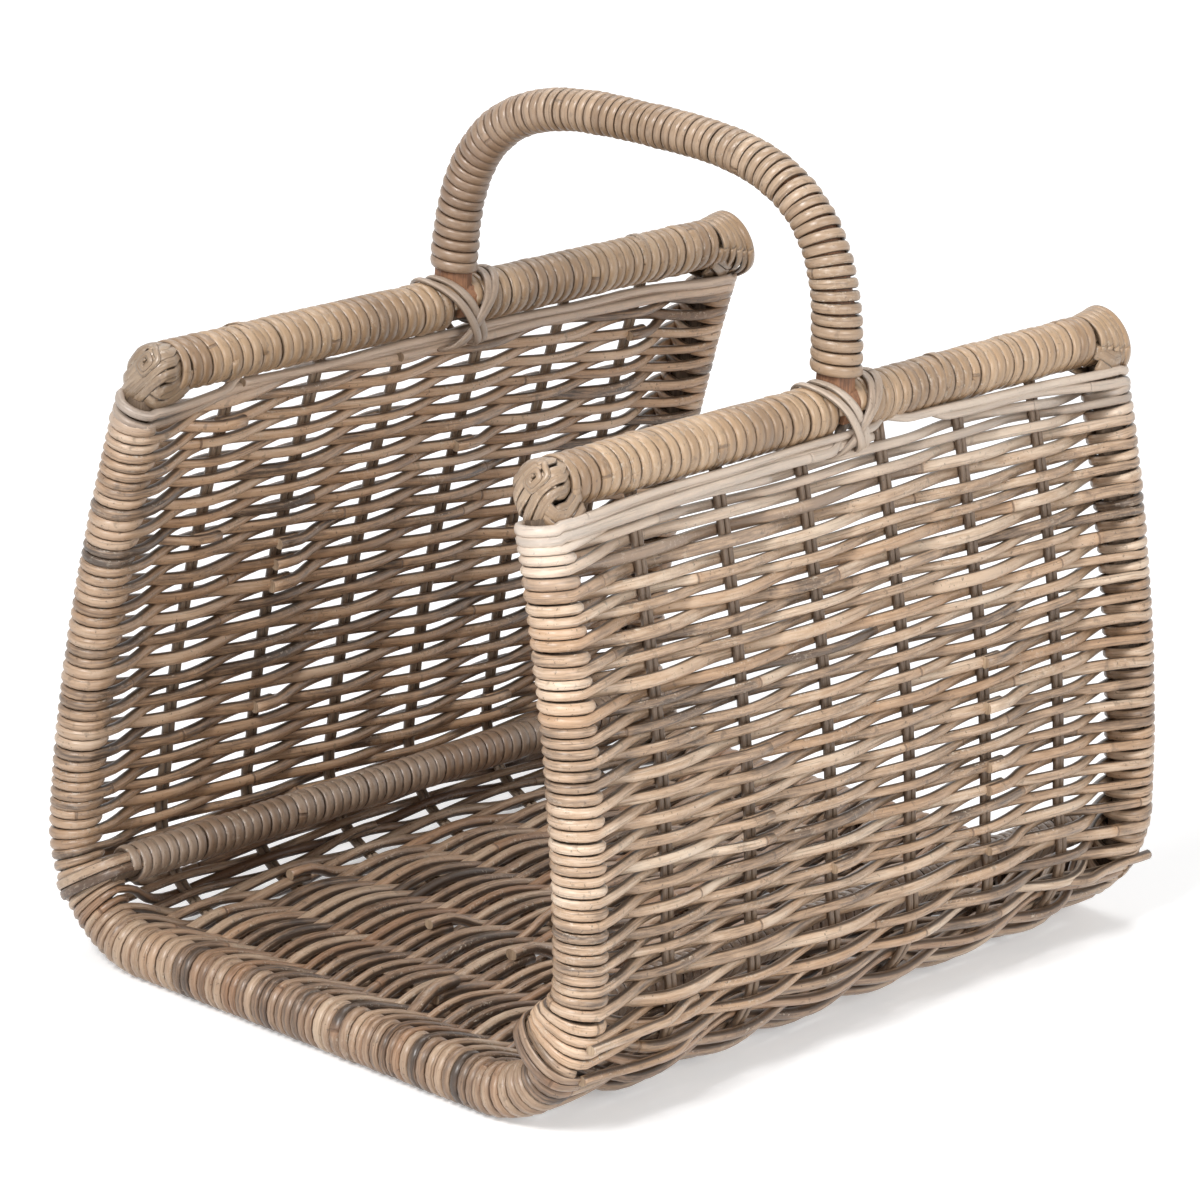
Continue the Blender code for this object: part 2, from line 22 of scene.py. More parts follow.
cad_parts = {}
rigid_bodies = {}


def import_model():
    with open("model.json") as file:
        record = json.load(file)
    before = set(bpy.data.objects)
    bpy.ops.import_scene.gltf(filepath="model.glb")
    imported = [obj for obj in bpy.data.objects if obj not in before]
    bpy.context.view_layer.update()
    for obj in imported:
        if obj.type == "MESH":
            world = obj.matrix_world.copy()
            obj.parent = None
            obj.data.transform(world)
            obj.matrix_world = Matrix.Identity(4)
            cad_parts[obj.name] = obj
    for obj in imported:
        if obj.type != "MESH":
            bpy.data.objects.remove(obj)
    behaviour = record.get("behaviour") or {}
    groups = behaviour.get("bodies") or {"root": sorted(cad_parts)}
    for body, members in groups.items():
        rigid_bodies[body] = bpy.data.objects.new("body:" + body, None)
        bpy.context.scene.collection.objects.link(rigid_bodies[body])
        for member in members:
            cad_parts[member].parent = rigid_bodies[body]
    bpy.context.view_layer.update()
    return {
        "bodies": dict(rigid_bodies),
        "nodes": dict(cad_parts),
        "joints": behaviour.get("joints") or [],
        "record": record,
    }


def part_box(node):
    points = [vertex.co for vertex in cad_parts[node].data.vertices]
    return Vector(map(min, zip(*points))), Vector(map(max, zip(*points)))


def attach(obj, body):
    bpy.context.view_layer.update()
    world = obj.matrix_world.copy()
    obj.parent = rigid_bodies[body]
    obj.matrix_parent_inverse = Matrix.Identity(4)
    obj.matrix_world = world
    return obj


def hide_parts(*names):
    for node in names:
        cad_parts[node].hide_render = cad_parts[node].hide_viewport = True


log = logging.getLogger("trug")

Colour = tuple[float, float, float]
Spot = tuple[float, float, float]
Array = np.ndarray


def smooth(share: Array | float) -> Array | float:
    """A soft step from 0 to 1."""
    share = np.clip(share, 0, 1)
    return share * share * (3 - 2 * share)


def bend(value: Array, power: float) -> Array:
    """A power that keeps the value's sign."""
    return np.sign(value) * np.abs(value) ** power


def run_length(points: Array) -> Array:
    """The distance along a route at each of its points."""
    return np.concatenate([[0.0], np.cumsum(np.linalg.norm(np.diff(points, axis=0), axis=1))])


def read_off(at: Array, marks: Array, table: Array) -> Array:
    """A table's rows, read off between its marks."""
    return np.stack([np.interp(at, marks, column) for column in table.T], axis=1)


def steady(way: Sequence[float], count: int) -> Array:
    """The same direction for every ring."""
    return np.tile(np.array(way, float), (count, 1))


def add_object(name: str, data: bpy.types.ID) -> bpy.types.Object:
    """Puts an object with its data into the scene."""
    obj = bpy.data.objects.new(name, data)
    bpy.context.scene.collection.objects.link(obj)
    return obj


class Place(Enum):
    """A named place on the basket."""

    @property
    def word(self) -> str:
        """The name as the part's nodes spell it."""
        return self.name.lower()


class Side(Place):
    """The basket's two walls."""

    LEFT = -1
    RIGHT = 1


class End(Place):
    """The basket's two open ends."""

    FRONT = -1
    REAR = 1


@dataclass(frozen=True)
class TrugSizes:
    """The driving sizes of the part, in metres."""

    frame_y: float = 0.254
    top_half_width: float = 0.1475
    base_half_width: float = 0.1975
    corner_radius: float = 0.065
    rail_rise: float = 0.350
    wall_sweep_power: float = 1.65
    handle_rise: float = 0.1366
    handle_power: float = 3.2
    stake_pairs: int = 6
    rail_overhang: float = 0.005
    bar_angle: float = math.radians(33)

    @property
    def bay(self) -> float:
        """The distance from one pair of stakes to the next."""
        return 2 * self.frame_y / (self.stake_pairs + 1)

    @property
    def rail_z(self) -> float:
        """The height of the rails' middle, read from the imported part."""
        low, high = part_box("left_rail_pole")
        return (low[2] + high[2]) / 2

    @property
    def floor_z(self) -> float:
        """The height of the frames' middle under the floor."""
        return self.rail_z - self.rail_rise


class Section:
    """The basket's section line: down the left wall, across the floor, up the right wall."""

    STEPS = 240
    LEFT_HANG = 0.0065
    RIGHT_HANG = 0.0125
    HANG_EASE = 0.06
    WAY_REACH = 0.002

    def __init__(self, sizes: TrugSizes) -> None:
        """Lays the line out.

        Args:
            sizes: the basket's driving sizes.
        """
        drop = sizes.rail_rise - sizes.corner_radius
        share = np.linspace(0, 1, self.STEPS, endpoint=False)
        spread = sizes.base_half_width - sizes.top_half_width
        wall_x = sizes.top_half_width + spread * (1 - (1 - share) ** sizes.wall_sweep_power)
        wall_z = sizes.rail_rise - drop * share
        angle = np.linspace(0, math.pi / 2, self.STEPS)
        arc_x = sizes.base_half_width - sizes.corner_radius * (1 - np.cos(angle))
        arc_z = sizes.corner_radius * (1 - np.sin(angle))
        x = np.concatenate([wall_x, arc_x])
        z = np.concatenate([wall_z, arc_z]) + sizes.floor_z
        self.x = np.concatenate([-x, x[::-1]])
        self.z = np.concatenate([z, z[::-1]])
        self.marks = run_length(np.stack([self.x, self.z], axis=1))
        self.length = float(self.marks[-1])
        self.corner_mark = float(self.marks[self.STEPS])
        self.corner_end = float(self.marks[2 * self.STEPS - 1])
        self.frame_y = sizes.frame_y

    def hang(self, distance: Array, y: Array) -> Array:
        """How far the sheet stands out of its bends between the frames."""
        from_end = np.minimum(distance, self.length - distance)
        share = (from_end - self.corner_mark) / (self.corner_end - self.corner_mark)
        bend = np.cos(math.pi * (np.clip(share, -0.25, 1.25) - 0.5) / 1.5) ** 2
        most = np.where(distance < self.length / 2, self.LEFT_HANG, self.RIGHT_HANG)
        return most * bend * smooth((self.frame_y - np.abs(y)) / self.HANG_EASE)

    def way(self, distance: Array) -> Array:
        """The line's direction in three dimensions at each distance."""
        high = np.minimum(distance + self.WAY_REACH, self.length)
        low = np.maximum(distance - self.WAY_REACH, 0)
        x = np.interp(high, self.marks, self.x) - np.interp(low, self.marks, self.x)
        z = np.interp(high, self.marks, self.z) - np.interp(low, self.marks, self.z)
        way = np.stack([x, np.zeros_like(x), z], axis=1)
        return way / np.linalg.norm(way, axis=1, keepdims=True)

    def place(self, distance: Array, y: Array, outward: Array, mirrored: bool = False) -> Array:
        """Points on the woven sheet.

        Args:
            distance: distance along the section from the left rail, or from the right one if mirrored.
            y: distance from front to rear.
            outward: distance out from the sheet's middle.
            mirrored: whether the distance starts at the right rail.

        Returns:
            One row of three coordinates for each entry.
        """
        way = self.way(distance)
        normal = np.stack([way[:, 2], np.zeros(len(way)), -way[:, 0]], axis=1)
        x = np.interp(distance, self.marks, self.x)
        z = np.interp(distance, self.marks, self.z)
        hang = self.hang(self.length - distance if mirrored else distance, y)
        points = np.stack([x, y, z], axis=1) + normal * (outward + hang)[:, None]
        return points * np.array([-1, 1, 1]) if mirrored else points


@dataclass(frozen=True)
class Outline:
    """The cross-section of a strand."""

    half_width: float
    half_thickness: float
    power: float = 2.2
    sides: int = 10

    def points(self) -> Array:
        """The section's corners as pairs of width and height."""
        angle = 2 * math.pi * np.arange(self.sides) / self.sides
        share = 2 / self.power
        across = self.half_width * bend(np.cos(angle), share)
        up = self.half_thickness * bend(np.sin(angle), share)
        return np.stack([across, up], axis=1)


class StrandMesh:
    """Swept strands gathered into one mesh, with a UV map that follows each strand."""

    UV_NAME = "strand"
    SEAM = 1e-7
    GAP = 0.37

    def __init__(self) -> None:
        """Starts with no strands."""
        self.shape = bmesh.new()
        self.shape.loops.layers.uv.new(self.UV_NAME)
        self.run = 0.0

    def add(self, points: Array, broad_way: Array, outline: Outline, scale: Array | float = 1.0) -> None:
        """Sweeps an outline along a route.

        Args:
            points: the route, one row for each ring.
            broad_way: the direction that the strand's width takes at each ring.
            outline: the cross-section.
            scale: how much each ring is widened.
        """
        count = len(points)
        tangent = np.gradient(points, axis=0)
        tangent /= np.linalg.norm(tangent, axis=1, keepdims=True)
        broad = broad_way - tangent * (broad_way * tangent).sum(axis=1, keepdims=True)
        broad /= np.linalg.norm(broad, axis=1, keepdims=True)
        up = np.cross(tangent, broad)
        corners = outline.points()
        widths = np.broadcast_to(np.asarray(scale, float), (count,))
        along = self.run + run_length(points)
        self.run = float(along[-1]) + self.GAP

        piece = bmesh.new()
        piece.loops.layers.uv.new(self.UV_NAME)
        bmesh.ops.create_grid(piece, x_segments=count - 1, y_segments=outline.sides, size=1, calc_uvs=True)
        mesh = bpy.data.meshes.new("piece")
        piece.to_mesh(mesh)
        piece.free()
        flat = np.empty(len(mesh.vertices) * 3, np.float32)
        mesh.vertices.foreach_get("co", flat)
        flat = flat.reshape(-1, 3)
        ring = np.rint((flat[:, 0] + 1) / 2 * (count - 1)).astype(int)
        corner = np.rint((flat[:, 1] + 1) / 2 * outline.sides).astype(int) % outline.sides
        across = broad[ring] * (corners[corner, 0] * widths[ring])[:, None]
        height = up[ring] * (corners[corner, 1] * np.sqrt(widths[ring]))[:, None]
        placed = points[ring] + across + height
        mesh.vertices.foreach_set("co", placed.astype(np.float32).ravel())
        layer = mesh.uv_layers[self.UV_NAME].data
        uv = np.empty(len(layer) * 2, np.float32)
        layer.foreach_get("uv", uv)
        uv = uv.reshape(-1, 2)
        uv[:, 0] = along[np.rint(uv[:, 0] * (count - 1)).astype(int)]
        layer.foreach_set("uv", uv.ravel())
        self.shape.from_mesh(mesh)
        bpy.data.meshes.remove(mesh)

    def finish(self, name: str, skin: bpy.types.Material, cut: bpy.types.Material) -> bpy.types.Object:
        """Closes the seams and the cut ends and makes the object.

        Args:
            name: the object's name.
            skin: the finish of the strands.
            cut: the finish of their cut ends.

        Returns:
            The new object.
        """
        shape = self.shape
        edge = [vert for vert in shape.verts if vert.is_boundary]
        bmesh.ops.remove_doubles(shape, verts=edge, dist=self.SEAM)
        rims = [side for side in shape.edges if side.is_boundary]
        caps = bmesh.ops.holes_fill(shape, edges=rims, sides=0)["faces"]
        for face in shape.faces:
            face.smooth = True
        for face in caps:
            face.smooth = False
            face.material_index = 1
        bmesh.ops.recalc_face_normals(shape, faces=shape.faces)
        mesh = bpy.data.meshes.new(name)
        shape.to_mesh(mesh)
        shape.free()
        mesh.materials.append(skin)
        mesh.materials.append(cut)
        log.info("%s: %d faces", name, len(mesh.polygons))
        return add_object(name, mesh)


class Graph:
    """Adds nodes to a node tree and joins them."""

    def __init__(self, tree: bpy.types.NodeTree) -> None:
        """Keeps the tree that the nodes go into."""
        self.tree = tree

    def add(self, kind: str, inputs: dict | None = None, **settings) -> bpy.types.Node:
        """Adds a node.

        Args:
            kind: the node's type.
            inputs: values or sockets by input name or number.
            settings: the node's own properties.

        Returns:
            The new node.
        """
        node = self.tree.nodes.new(kind)
        for key, value in settings.items():
            setattr(node, key, value)
        self.feed(node, inputs or {})
        return node

    def feed(self, node: bpy.types.Node, inputs: dict) -> None:
        """Gives a node's inputs their values, or joins sockets to them."""
        for key, value in inputs.items():
            if isinstance(value, bpy.types.NodeSocket):
                self.tree.links.new(value, node.inputs[key])
            else:
                node.inputs[key].default_value = value

    def calc(self, operation: str, *values, clamp: bool = False) -> bpy.types.NodeSocket:
        """One step of arithmetic on values or sockets."""
        node = self.add("ShaderNodeMath", dict(enumerate(values)), operation=operation, use_clamp=clamp)
        return node.outputs[0]

    def span(self, value, low: float, high: float) -> bpy.types.NodeSocket:
        """A smooth 0 to 1 as the value goes from low to high."""
        names = {"Value": value, "From Min": low, "From Max": high}
        return self.add("ShaderNodeMapRange", names, interpolation_type="SMOOTHSTEP").outputs[0]

    def mix(self, share, first, second, blend: str = "MIX") -> bpy.types.NodeSocket:
        """A mix of two colours."""
        node = self.add("ShaderNodeMix", {0: share, 6: first, 7: second}, data_type="RGBA", blend_type=blend)
        return node.outputs[2]

    def vector(self, x, y, z) -> bpy.types.NodeSocket:
        """A vector from three values or sockets."""
        return self.add("ShaderNodeCombineXYZ", {"X": x, "Y": y, "Z": z}).outputs[0]

    def noise(self, vector, scale: float, detail: float = 2.0, roughness: float = 0.5):
        """A noise value from 0 to 1."""
        names = {"Vector": vector, "Scale": scale, "Detail": detail, "Roughness": roughness}
        return self.add("ShaderNodeTexNoise", names).outputs[0]

    def seen(self) -> bpy.types.NodeSocket:
        """One for what the camera sees, also by way of a gloss or through glass."""
        rays = self.add("ShaderNodeLightPath").outputs
        seen = self.calc("MAXIMUM", rays["Is Camera Ray"], rays["Is Glossy Ray"])
        return self.calc("MAXIMUM", seen, rays["Is Transmission Ray"])


def new_material(name: str) -> tuple[bpy.types.Material, Graph, bpy.types.Node]:
    """A new material with the graph of its nodes and its main shader."""
    material = bpy.data.materials.new(name)
    material.use_nodes = True
    return material, Graph(material.node_tree), material.node_tree.nodes["Principled BSDF"]


class RattanSkin:
    """The shader group that all rattan and cane share."""

    NAME = "rattan_skin"
    FLAKE = (0.70, 0.60, 0.48, 1)
    # dark brown for real dirt and node rings, and for the painted shade at the strands' sides
    GRIME_AND_SHADE = (0.05, 0.03, 0.018, 1)

    def __init__(self) -> None:
        """Builds the group once."""
        self.tree = bpy.data.node_groups.new(self.NAME, "ShaderNodeTree")
        self.sockets()
        self.nodes()

    def sockets(self) -> None:
        """Names what goes in and what comes out."""
        face = self.tree.interface
        # Seam is how much painted shade darkens the strand's sides where it meets its neighbours
        for name in ("Along", "Around", "Piece Length", "Flecks", "Dirt", "Warmth", "Seam", "Contrast"):
            face.new_socket(name, in_out="INPUT", socket_type="NodeSocketFloat")
        face.new_socket("Place", in_out="INPUT", socket_type="NodeSocketVector")
        for name in ("Pale", "Middle", "Dark", "Warm"):
            face.new_socket(name, in_out="INPUT", socket_type="NodeSocketColor")
        face.new_socket("Color", in_out="OUTPUT", socket_type="NodeSocketColor")
        face.new_socket("Roughness", in_out="OUTPUT", socket_type="NodeSocketFloat")
        face.new_socket("Height", in_out="OUTPUT", socket_type="NodeSocketFloat")

    def nodes(self) -> None:
        """Lays out the strand's tone, grain, node rings, flecks and dirt, and the painted shade along its sides
        where it meets its neighbours.
        """
        graph = Graph(self.tree)
        given = graph.add("NodeGroupInput").outputs
        along, around = given["Along"], given["Around"]
        place = given["Place"]

        cell = graph.calc("DIVIDE", along, given["Piece Length"])
        pieces = graph.add("ShaderNodeTexVoronoi", {"W": cell, "Scale": 1.0}, voronoi_dimensions="1D")
        tint = graph.add("ShaderNodeSeparateColor", {"Color": pieces.outputs["Color"]}).outputs
        cells = {"W": cell, "Scale": 1.0}
        joins = graph.add("ShaderNodeTexVoronoi", cells, voronoi_dimensions="1D", feature="DISTANCE_TO_EDGE")
        edge = graph.calc("MULTIPLY", joins.outputs["Distance"], given["Piece Length"])
        ring = graph.calc("SUBTRACT", 1.0, graph.span(edge, 0.0003, 0.0011))
        collar = graph.calc("SUBTRACT", 1.0, graph.span(edge, 0.001, 0.006))

        def stretched(length: float, width: float, shift: bpy.types.NodeSocket) -> bpy.types.NodeSocket:
            """A place on the strand, so many times finer along it and around it."""
            sides = (graph.calc("MULTIPLY", way, scale) for way, scale in ((along, length), (around, width)))
            return graph.vector(*sides, shift)

        drift = graph.noise(stretched(9.0, 1.2, tint[2]), 1.0, 3.0)
        grain = graph.noise(stretched(55.0, 13.0, tint[2]), 1.0, 4.0, 0.65)
        blotch = graph.noise(place, 60.0, 4.0, 0.6)
        turn = graph.calc("MULTIPLY", around, 2 * math.pi)
        edge_share = graph.calc("ABSOLUTE", graph.calc("COSINE", turn))

        tone = 0.0
        for layer, share in ((tint[0], 0.46), (drift, 1.0), (grain, 1.0), (blotch, 0.3)):
            tone = graph.calc("ADD", tone, graph.calc("MULTIPLY_ADD", layer, share, -share / 2))
        tone = graph.calc("MULTIPLY_ADD", tone, given["Contrast"], 0.5)
        low = graph.calc("MULTIPLY", tone, 2.0, clamp=True)
        high = graph.calc("MULTIPLY_ADD", tone, 2.0, -1.0, clamp=True)
        colour = graph.mix(low, given["Dark"], given["Middle"])
        colour = graph.mix(high, colour, given["Pale"])
        warm = graph.calc("MULTIPLY", graph.span(tint[1], 0.45, 0.95), given["Warmth"])
        colour = graph.mix(warm, colour, given["Warm"])

        patch = graph.span(graph.noise(place, 28.0, 2.0), 0.46, 0.62)
        flake = graph.span(graph.noise(stretched(330.0, 9.0, tint[0]), 1.0, 3.0, 0.7), 0.55, 0.62)
        on_edge = graph.calc("MULTIPLY_ADD", graph.span(edge_share, 0.5, 0.9), 0.75, 0.25)
        flake = graph.calc("MULTIPLY", graph.calc("MULTIPLY", flake, patch), given["Flecks"])
        flake = graph.calc("MULTIPLY", flake, on_edge)
        colour = graph.mix(flake, colour, self.FLAKE)
        streak = graph.span(graph.noise(stretched(16.0, 30.0, tint[1]), 1.0, 2.0, 0.5), 0.6, 0.7)
        spots = graph.span(graph.noise(place, 420.0, 2.0, 0.6), 0.64, 0.72)
        smudge = graph.span(graph.noise(place, 130.0, 3.0, 0.6), 0.6, 0.72)
        dirt = graph.calc("MULTIPLY", spots, given["Dirt"])
        for mark, share in ((smudge, 0.7), (streak, 0.5)):
            mark = graph.calc("MULTIPLY", mark, graph.calc("MULTIPLY", given["Dirt"], share))
            dirt = graph.calc("MAXIMUM", dirt, mark)
        dirt = graph.calc("MAXIMUM", dirt, graph.calc("MULTIPLY", ring, 0.75))
        # painted shade: darkens the strand's sides, where it meets its neighbours, in place of the shadow there
        seam = graph.calc("MULTIPLY", graph.span(edge_share, 0.84, 0.992), given["Seam"])
        dirt = graph.calc("MAXIMUM", dirt, seam)
        # real dirt, node rings and that painted shade all go to the same dark colour
        colour = graph.mix(dirt, colour, self.GRIME_AND_SHADE)
        colour = graph.mix(graph.calc("MULTIPLY", collar, 0.3), colour, given["Warm"])

        rough = graph.calc("MULTIPLY_ADD", grain, 0.35, 0.22)
        rough = graph.calc("MULTIPLY_ADD", flake, 0.2, rough)
        height = graph.calc("MULTIPLY", grain, 0.6)
        for layer, share in ((flake, 0.8), (streak, -0.4), (ring, -1.2), (collar, 0.6)):
            height = graph.calc("MULTIPLY_ADD", layer, share, height)
        graph.add("NodeGroupOutput", {"Color": colour, "Roughness": rough, "Height": height})


@dataclass(frozen=True)
class Wash:
    """A second colour that comes in along one axis of the basket."""

    axis: str
    low: float
    high: float
    colour: Colour
    share: float
    blend: str = "MIX"

    def apply(self, graph: Graph, place: bpy.types.NodeSocket, colour: bpy.types.NodeSocket):
        """Mixes the wash over a colour and returns the new one."""
        level = graph.add("ShaderNodeSeparateXYZ", {0: place}).outputs[self.axis]
        amount = graph.calc("MULTIPLY", graph.span(level, self.low, self.high), self.share)
        return graph.mix(amount, colour, (*self.colour, 1), self.blend)


@dataclass(frozen=True)
class CaneFinish:
    """One finish of rattan or cane."""

    name: str
    pale: Colour
    middle: Colour
    dark: Colour
    warm: Colour
    warmth: float = 0.4
    flecks: float = 0.6
    dirt: float = 0.5
    piece_length: float = 0.55
    bump: float = 0.0005
    coat: float = 0.25
    # how much painted shade darkens the strands' sides where they meet their neighbours
    seam: float = 0.6
    contrast: float = 1.0
    washes: tuple[Wash, ...] = ()

    def build(self, skin: RattanSkin) -> bpy.types.Material:
        """Makes the material.

        Args:
            skin: the shared rattan group.

        Returns:
            The new material.
        """
        material, graph, shader = new_material(self.name)
        map_node = graph.add("ShaderNodeUVMap", uv_map=StrandMesh.UV_NAME)
        uv = graph.add("ShaderNodeSeparateXYZ", {0: map_node.outputs[0]}).outputs
        place = graph.add("ShaderNodeTexCoord").outputs["Object"]
        values = {
            "Along": uv["X"],
            "Around": uv["Y"],
            "Place": place,
            "Piece Length": self.piece_length,
            **{name.title(): getattr(self, name) for name in ("flecks", "dirt", "warmth", "seam", "contrast")},
            **{name.title(): (*getattr(self, name), 1) for name in ("pale", "middle", "dark", "warm")},
        }
        group = graph.add("ShaderNodeGroup", values, node_tree=skin.tree).outputs
        colour = group["Color"]
        for wash in self.washes:
            colour = wash.apply(graph, place, colour)
        bump = graph.add("ShaderNodeBump", {"Height": group["Height"], "Distance": self.bump})
        graph.feed(shader, {
            "Base Color": colour,
            "Roughness": group["Roughness"],
            "Normal": bump.outputs[0],
            "Coat Weight": self.coat,
            "Coat Roughness": 0.28,
        })
        return material


@dataclass(frozen=True)
class CoreFinish:
    """Bare rattan core, as on the poles and the cut ends."""

    name: str
    light: Colour
    dark: Colour
    roughness: float = 0.6

    def build(self) -> bpy.types.Material:
        """Makes the material with long fibres and pores."""
        material, graph, shader = new_material(self.name)
        place = graph.add("ShaderNodeTexCoord").outputs["Object"]
        axes = graph.add("ShaderNodeSeparateXYZ", {0: place}).outputs
        scales = (("X", 900.0), ("Y", 900.0), ("Z", 60.0))
        drawn = graph.vector(*(graph.calc("MULTIPLY", axes[axis], by) for axis, by in scales))
        fibre = graph.noise(drawn, 1.0, 3.0, 0.6)
        stain = graph.noise(place, 55.0, 3.0, 0.6)
        tone = graph.calc("MULTIPLY_ADD", fibre, 0.6, graph.calc("MULTIPLY", stain, 0.7))
        bump = graph.add("ShaderNodeBump", {"Height": fibre, "Distance": 0.0004})
        graph.feed(shader, {
            "Base Color": graph.mix(graph.span(tone, 0.4, 0.9), (*self.dark, 1), (*self.light, 1)),
            "Roughness": graph.calc("MULTIPLY_ADD", fibre, 0.25, self.roughness - 0.12),
            "Normal": bump.outputs[0],
        })
        return material


@dataclass
class Finishes:
    """All the trug's materials."""

    skin: RattanSkin = field(default_factory=RattanSkin)

    def __post_init__(self) -> None:
        """Builds every finish once."""
        # seam sets the painted shade at the strands' sides in each finish
        woven = dict(dirt=0.6, flecks=0.8, seam=0.85, contrast=1.4, coat=0.3)
        rail = dict(dark=(0.16, 0.10, 0.06), flecks=0.8, dirt=0.45, coat=0.5, seam=0.75, contrast=0.85)
        # near the front frame: painted light on the right wall's strands, painted shade on the left wall's and
        # the floor's
        front = ("Y", -0.225, -0.245)
        # darker towards the left side: painted shade on the left rail's binding and crossed ends
        left = ("X", 0.0, -0.12)
        self.wall = CaneFinish(
            "weathered_rattan",
            (0.71, 0.56, 0.42), (0.465, 0.311, 0.199), (0.11, 0.072, 0.047), (0.47, 0.27, 0.14),
            washes=(
                Wash("Z", 0.305, 0.350, (0.65, 0.55, 0.46), 0.72),
                # painted light: lightens the right wall's strands near and round the front frame
                Wash(*front, (1.13, 1.15, 1.18), 1.0, "MULTIPLY"),
            ),
            **{**woven, "flecks": 0.9, "seam": 0.9, "coat": 0.35},
        ).build(self.skin)
        self.inner = CaneFinish(
            "weathered_rattan_inner",
            (0.68, 0.49, 0.34), (0.51, 0.322, 0.194), (0.095, 0.062, 0.041), (0.40, 0.22, 0.11),
            washes=(
                Wash("Z", 0.326, 0.346, (0.60, 0.47, 0.37), 0.75),
                # painted shade: darkens the left wall's strands near and round the front frame
                Wash(*front, (0.80, 0.83, 0.87), 1.0, "MULTIPLY"),
            ),
            **woven,
        ).build(self.skin)
        # the floor's weave: the same cane in darker tones, painted shade deep inside the basket
        self.floor = CaneFinish(
            "weathered_rattan_floor",
            (0.55, 0.41, 0.29), (0.335, 0.215, 0.138), (0.065, 0.042, 0.028), (0.38, 0.19, 0.09),
            # painted shade: darker still by the front frame
            washes=(Wash(*front, (0.90, 0.885, 0.87), 1.0, "MULTIPLY"),),
            **woven,
        ).build(self.skin)
        self.binding = CaneFinish(
            "binding_cane", (0.56, 0.395, 0.25), (0.365, 0.236, 0.135), warm=(0.42, 0.25, 0.125),
            washes=(Wash(*left, (0.87, 0.86, 0.85), 1.0, "MULTIPLY"),), **rail,
        ).build(self.skin)
        self.crossed = CaneFinish(
            "binding_cane_end", (0.54, 0.39, 0.262), (0.33, 0.223, 0.14), warm=(0.39, 0.255, 0.145),
            washes=(Wash(*left, (0.78, 0.79, 0.80), 1.0, "MULTIPLY"),), **rail,
        ).build(self.skin)
        self.handle = CaneFinish(
            "binding_cane_handle", (0.55, 0.40, 0.275), (0.34, 0.228, 0.144), warm=(0.39, 0.25, 0.145),
            washes=(Wash("X", -0.02, -0.14, (0.22, 0.135, 0.085), 0.6),), **rail,
        ).build(self.skin)
        self.bar = CaneFinish(
            "binding_cane_bar", (0.44, 0.33, 0.245), (0.265, 0.185, 0.13), warm=(0.33, 0.19, 0.11), **rail
        ).build(self.skin)
        self.lashing = CaneFinish(
            "lashing_cane", (0.68, 0.57, 0.47), (0.50, 0.39, 0.30), (0.22, 0.155, 0.11), (0.42, 0.29, 0.19),
            flecks=0.4, washes=(Wash("X", 0.0, -0.1, (0.26, 0.18, 0.125), 0.5),),
        ).build(self.skin)
        self.rod = CaneFinish(
            "stake_rod", (0.42, 0.32, 0.23), (0.26, 0.18, 0.12), (0.09, 0.058, 0.038), (0.26, 0.15, 0.08),
            flecks=0.2, seam=0.2,
        ).build(self.skin)
        self.core = CoreFinish("bare_pole", (0.38, 0.185, 0.095), (0.12, 0.055, 0.03)).build()
        # dark grey-brown poles: partly their weathered colour, partly painted shade where they show through
        # gaps in the binding
        self.old_pole_in_shade = CoreFinish("weathered_pole", (0.22, 0.155, 0.105), (0.07, 0.046, 0.03)).build()
        self.cut = CoreFinish("cut_end", (0.50, 0.37, 0.25), (0.20, 0.13, 0.08)).build()


def ride(piece: bpy.types.Object, slot: str, *nodes: str) -> None:
    """Makes a piece ride on the basket and stand for the nodes."""
    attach(piece, "root")
    if nodes:
        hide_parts(*nodes)


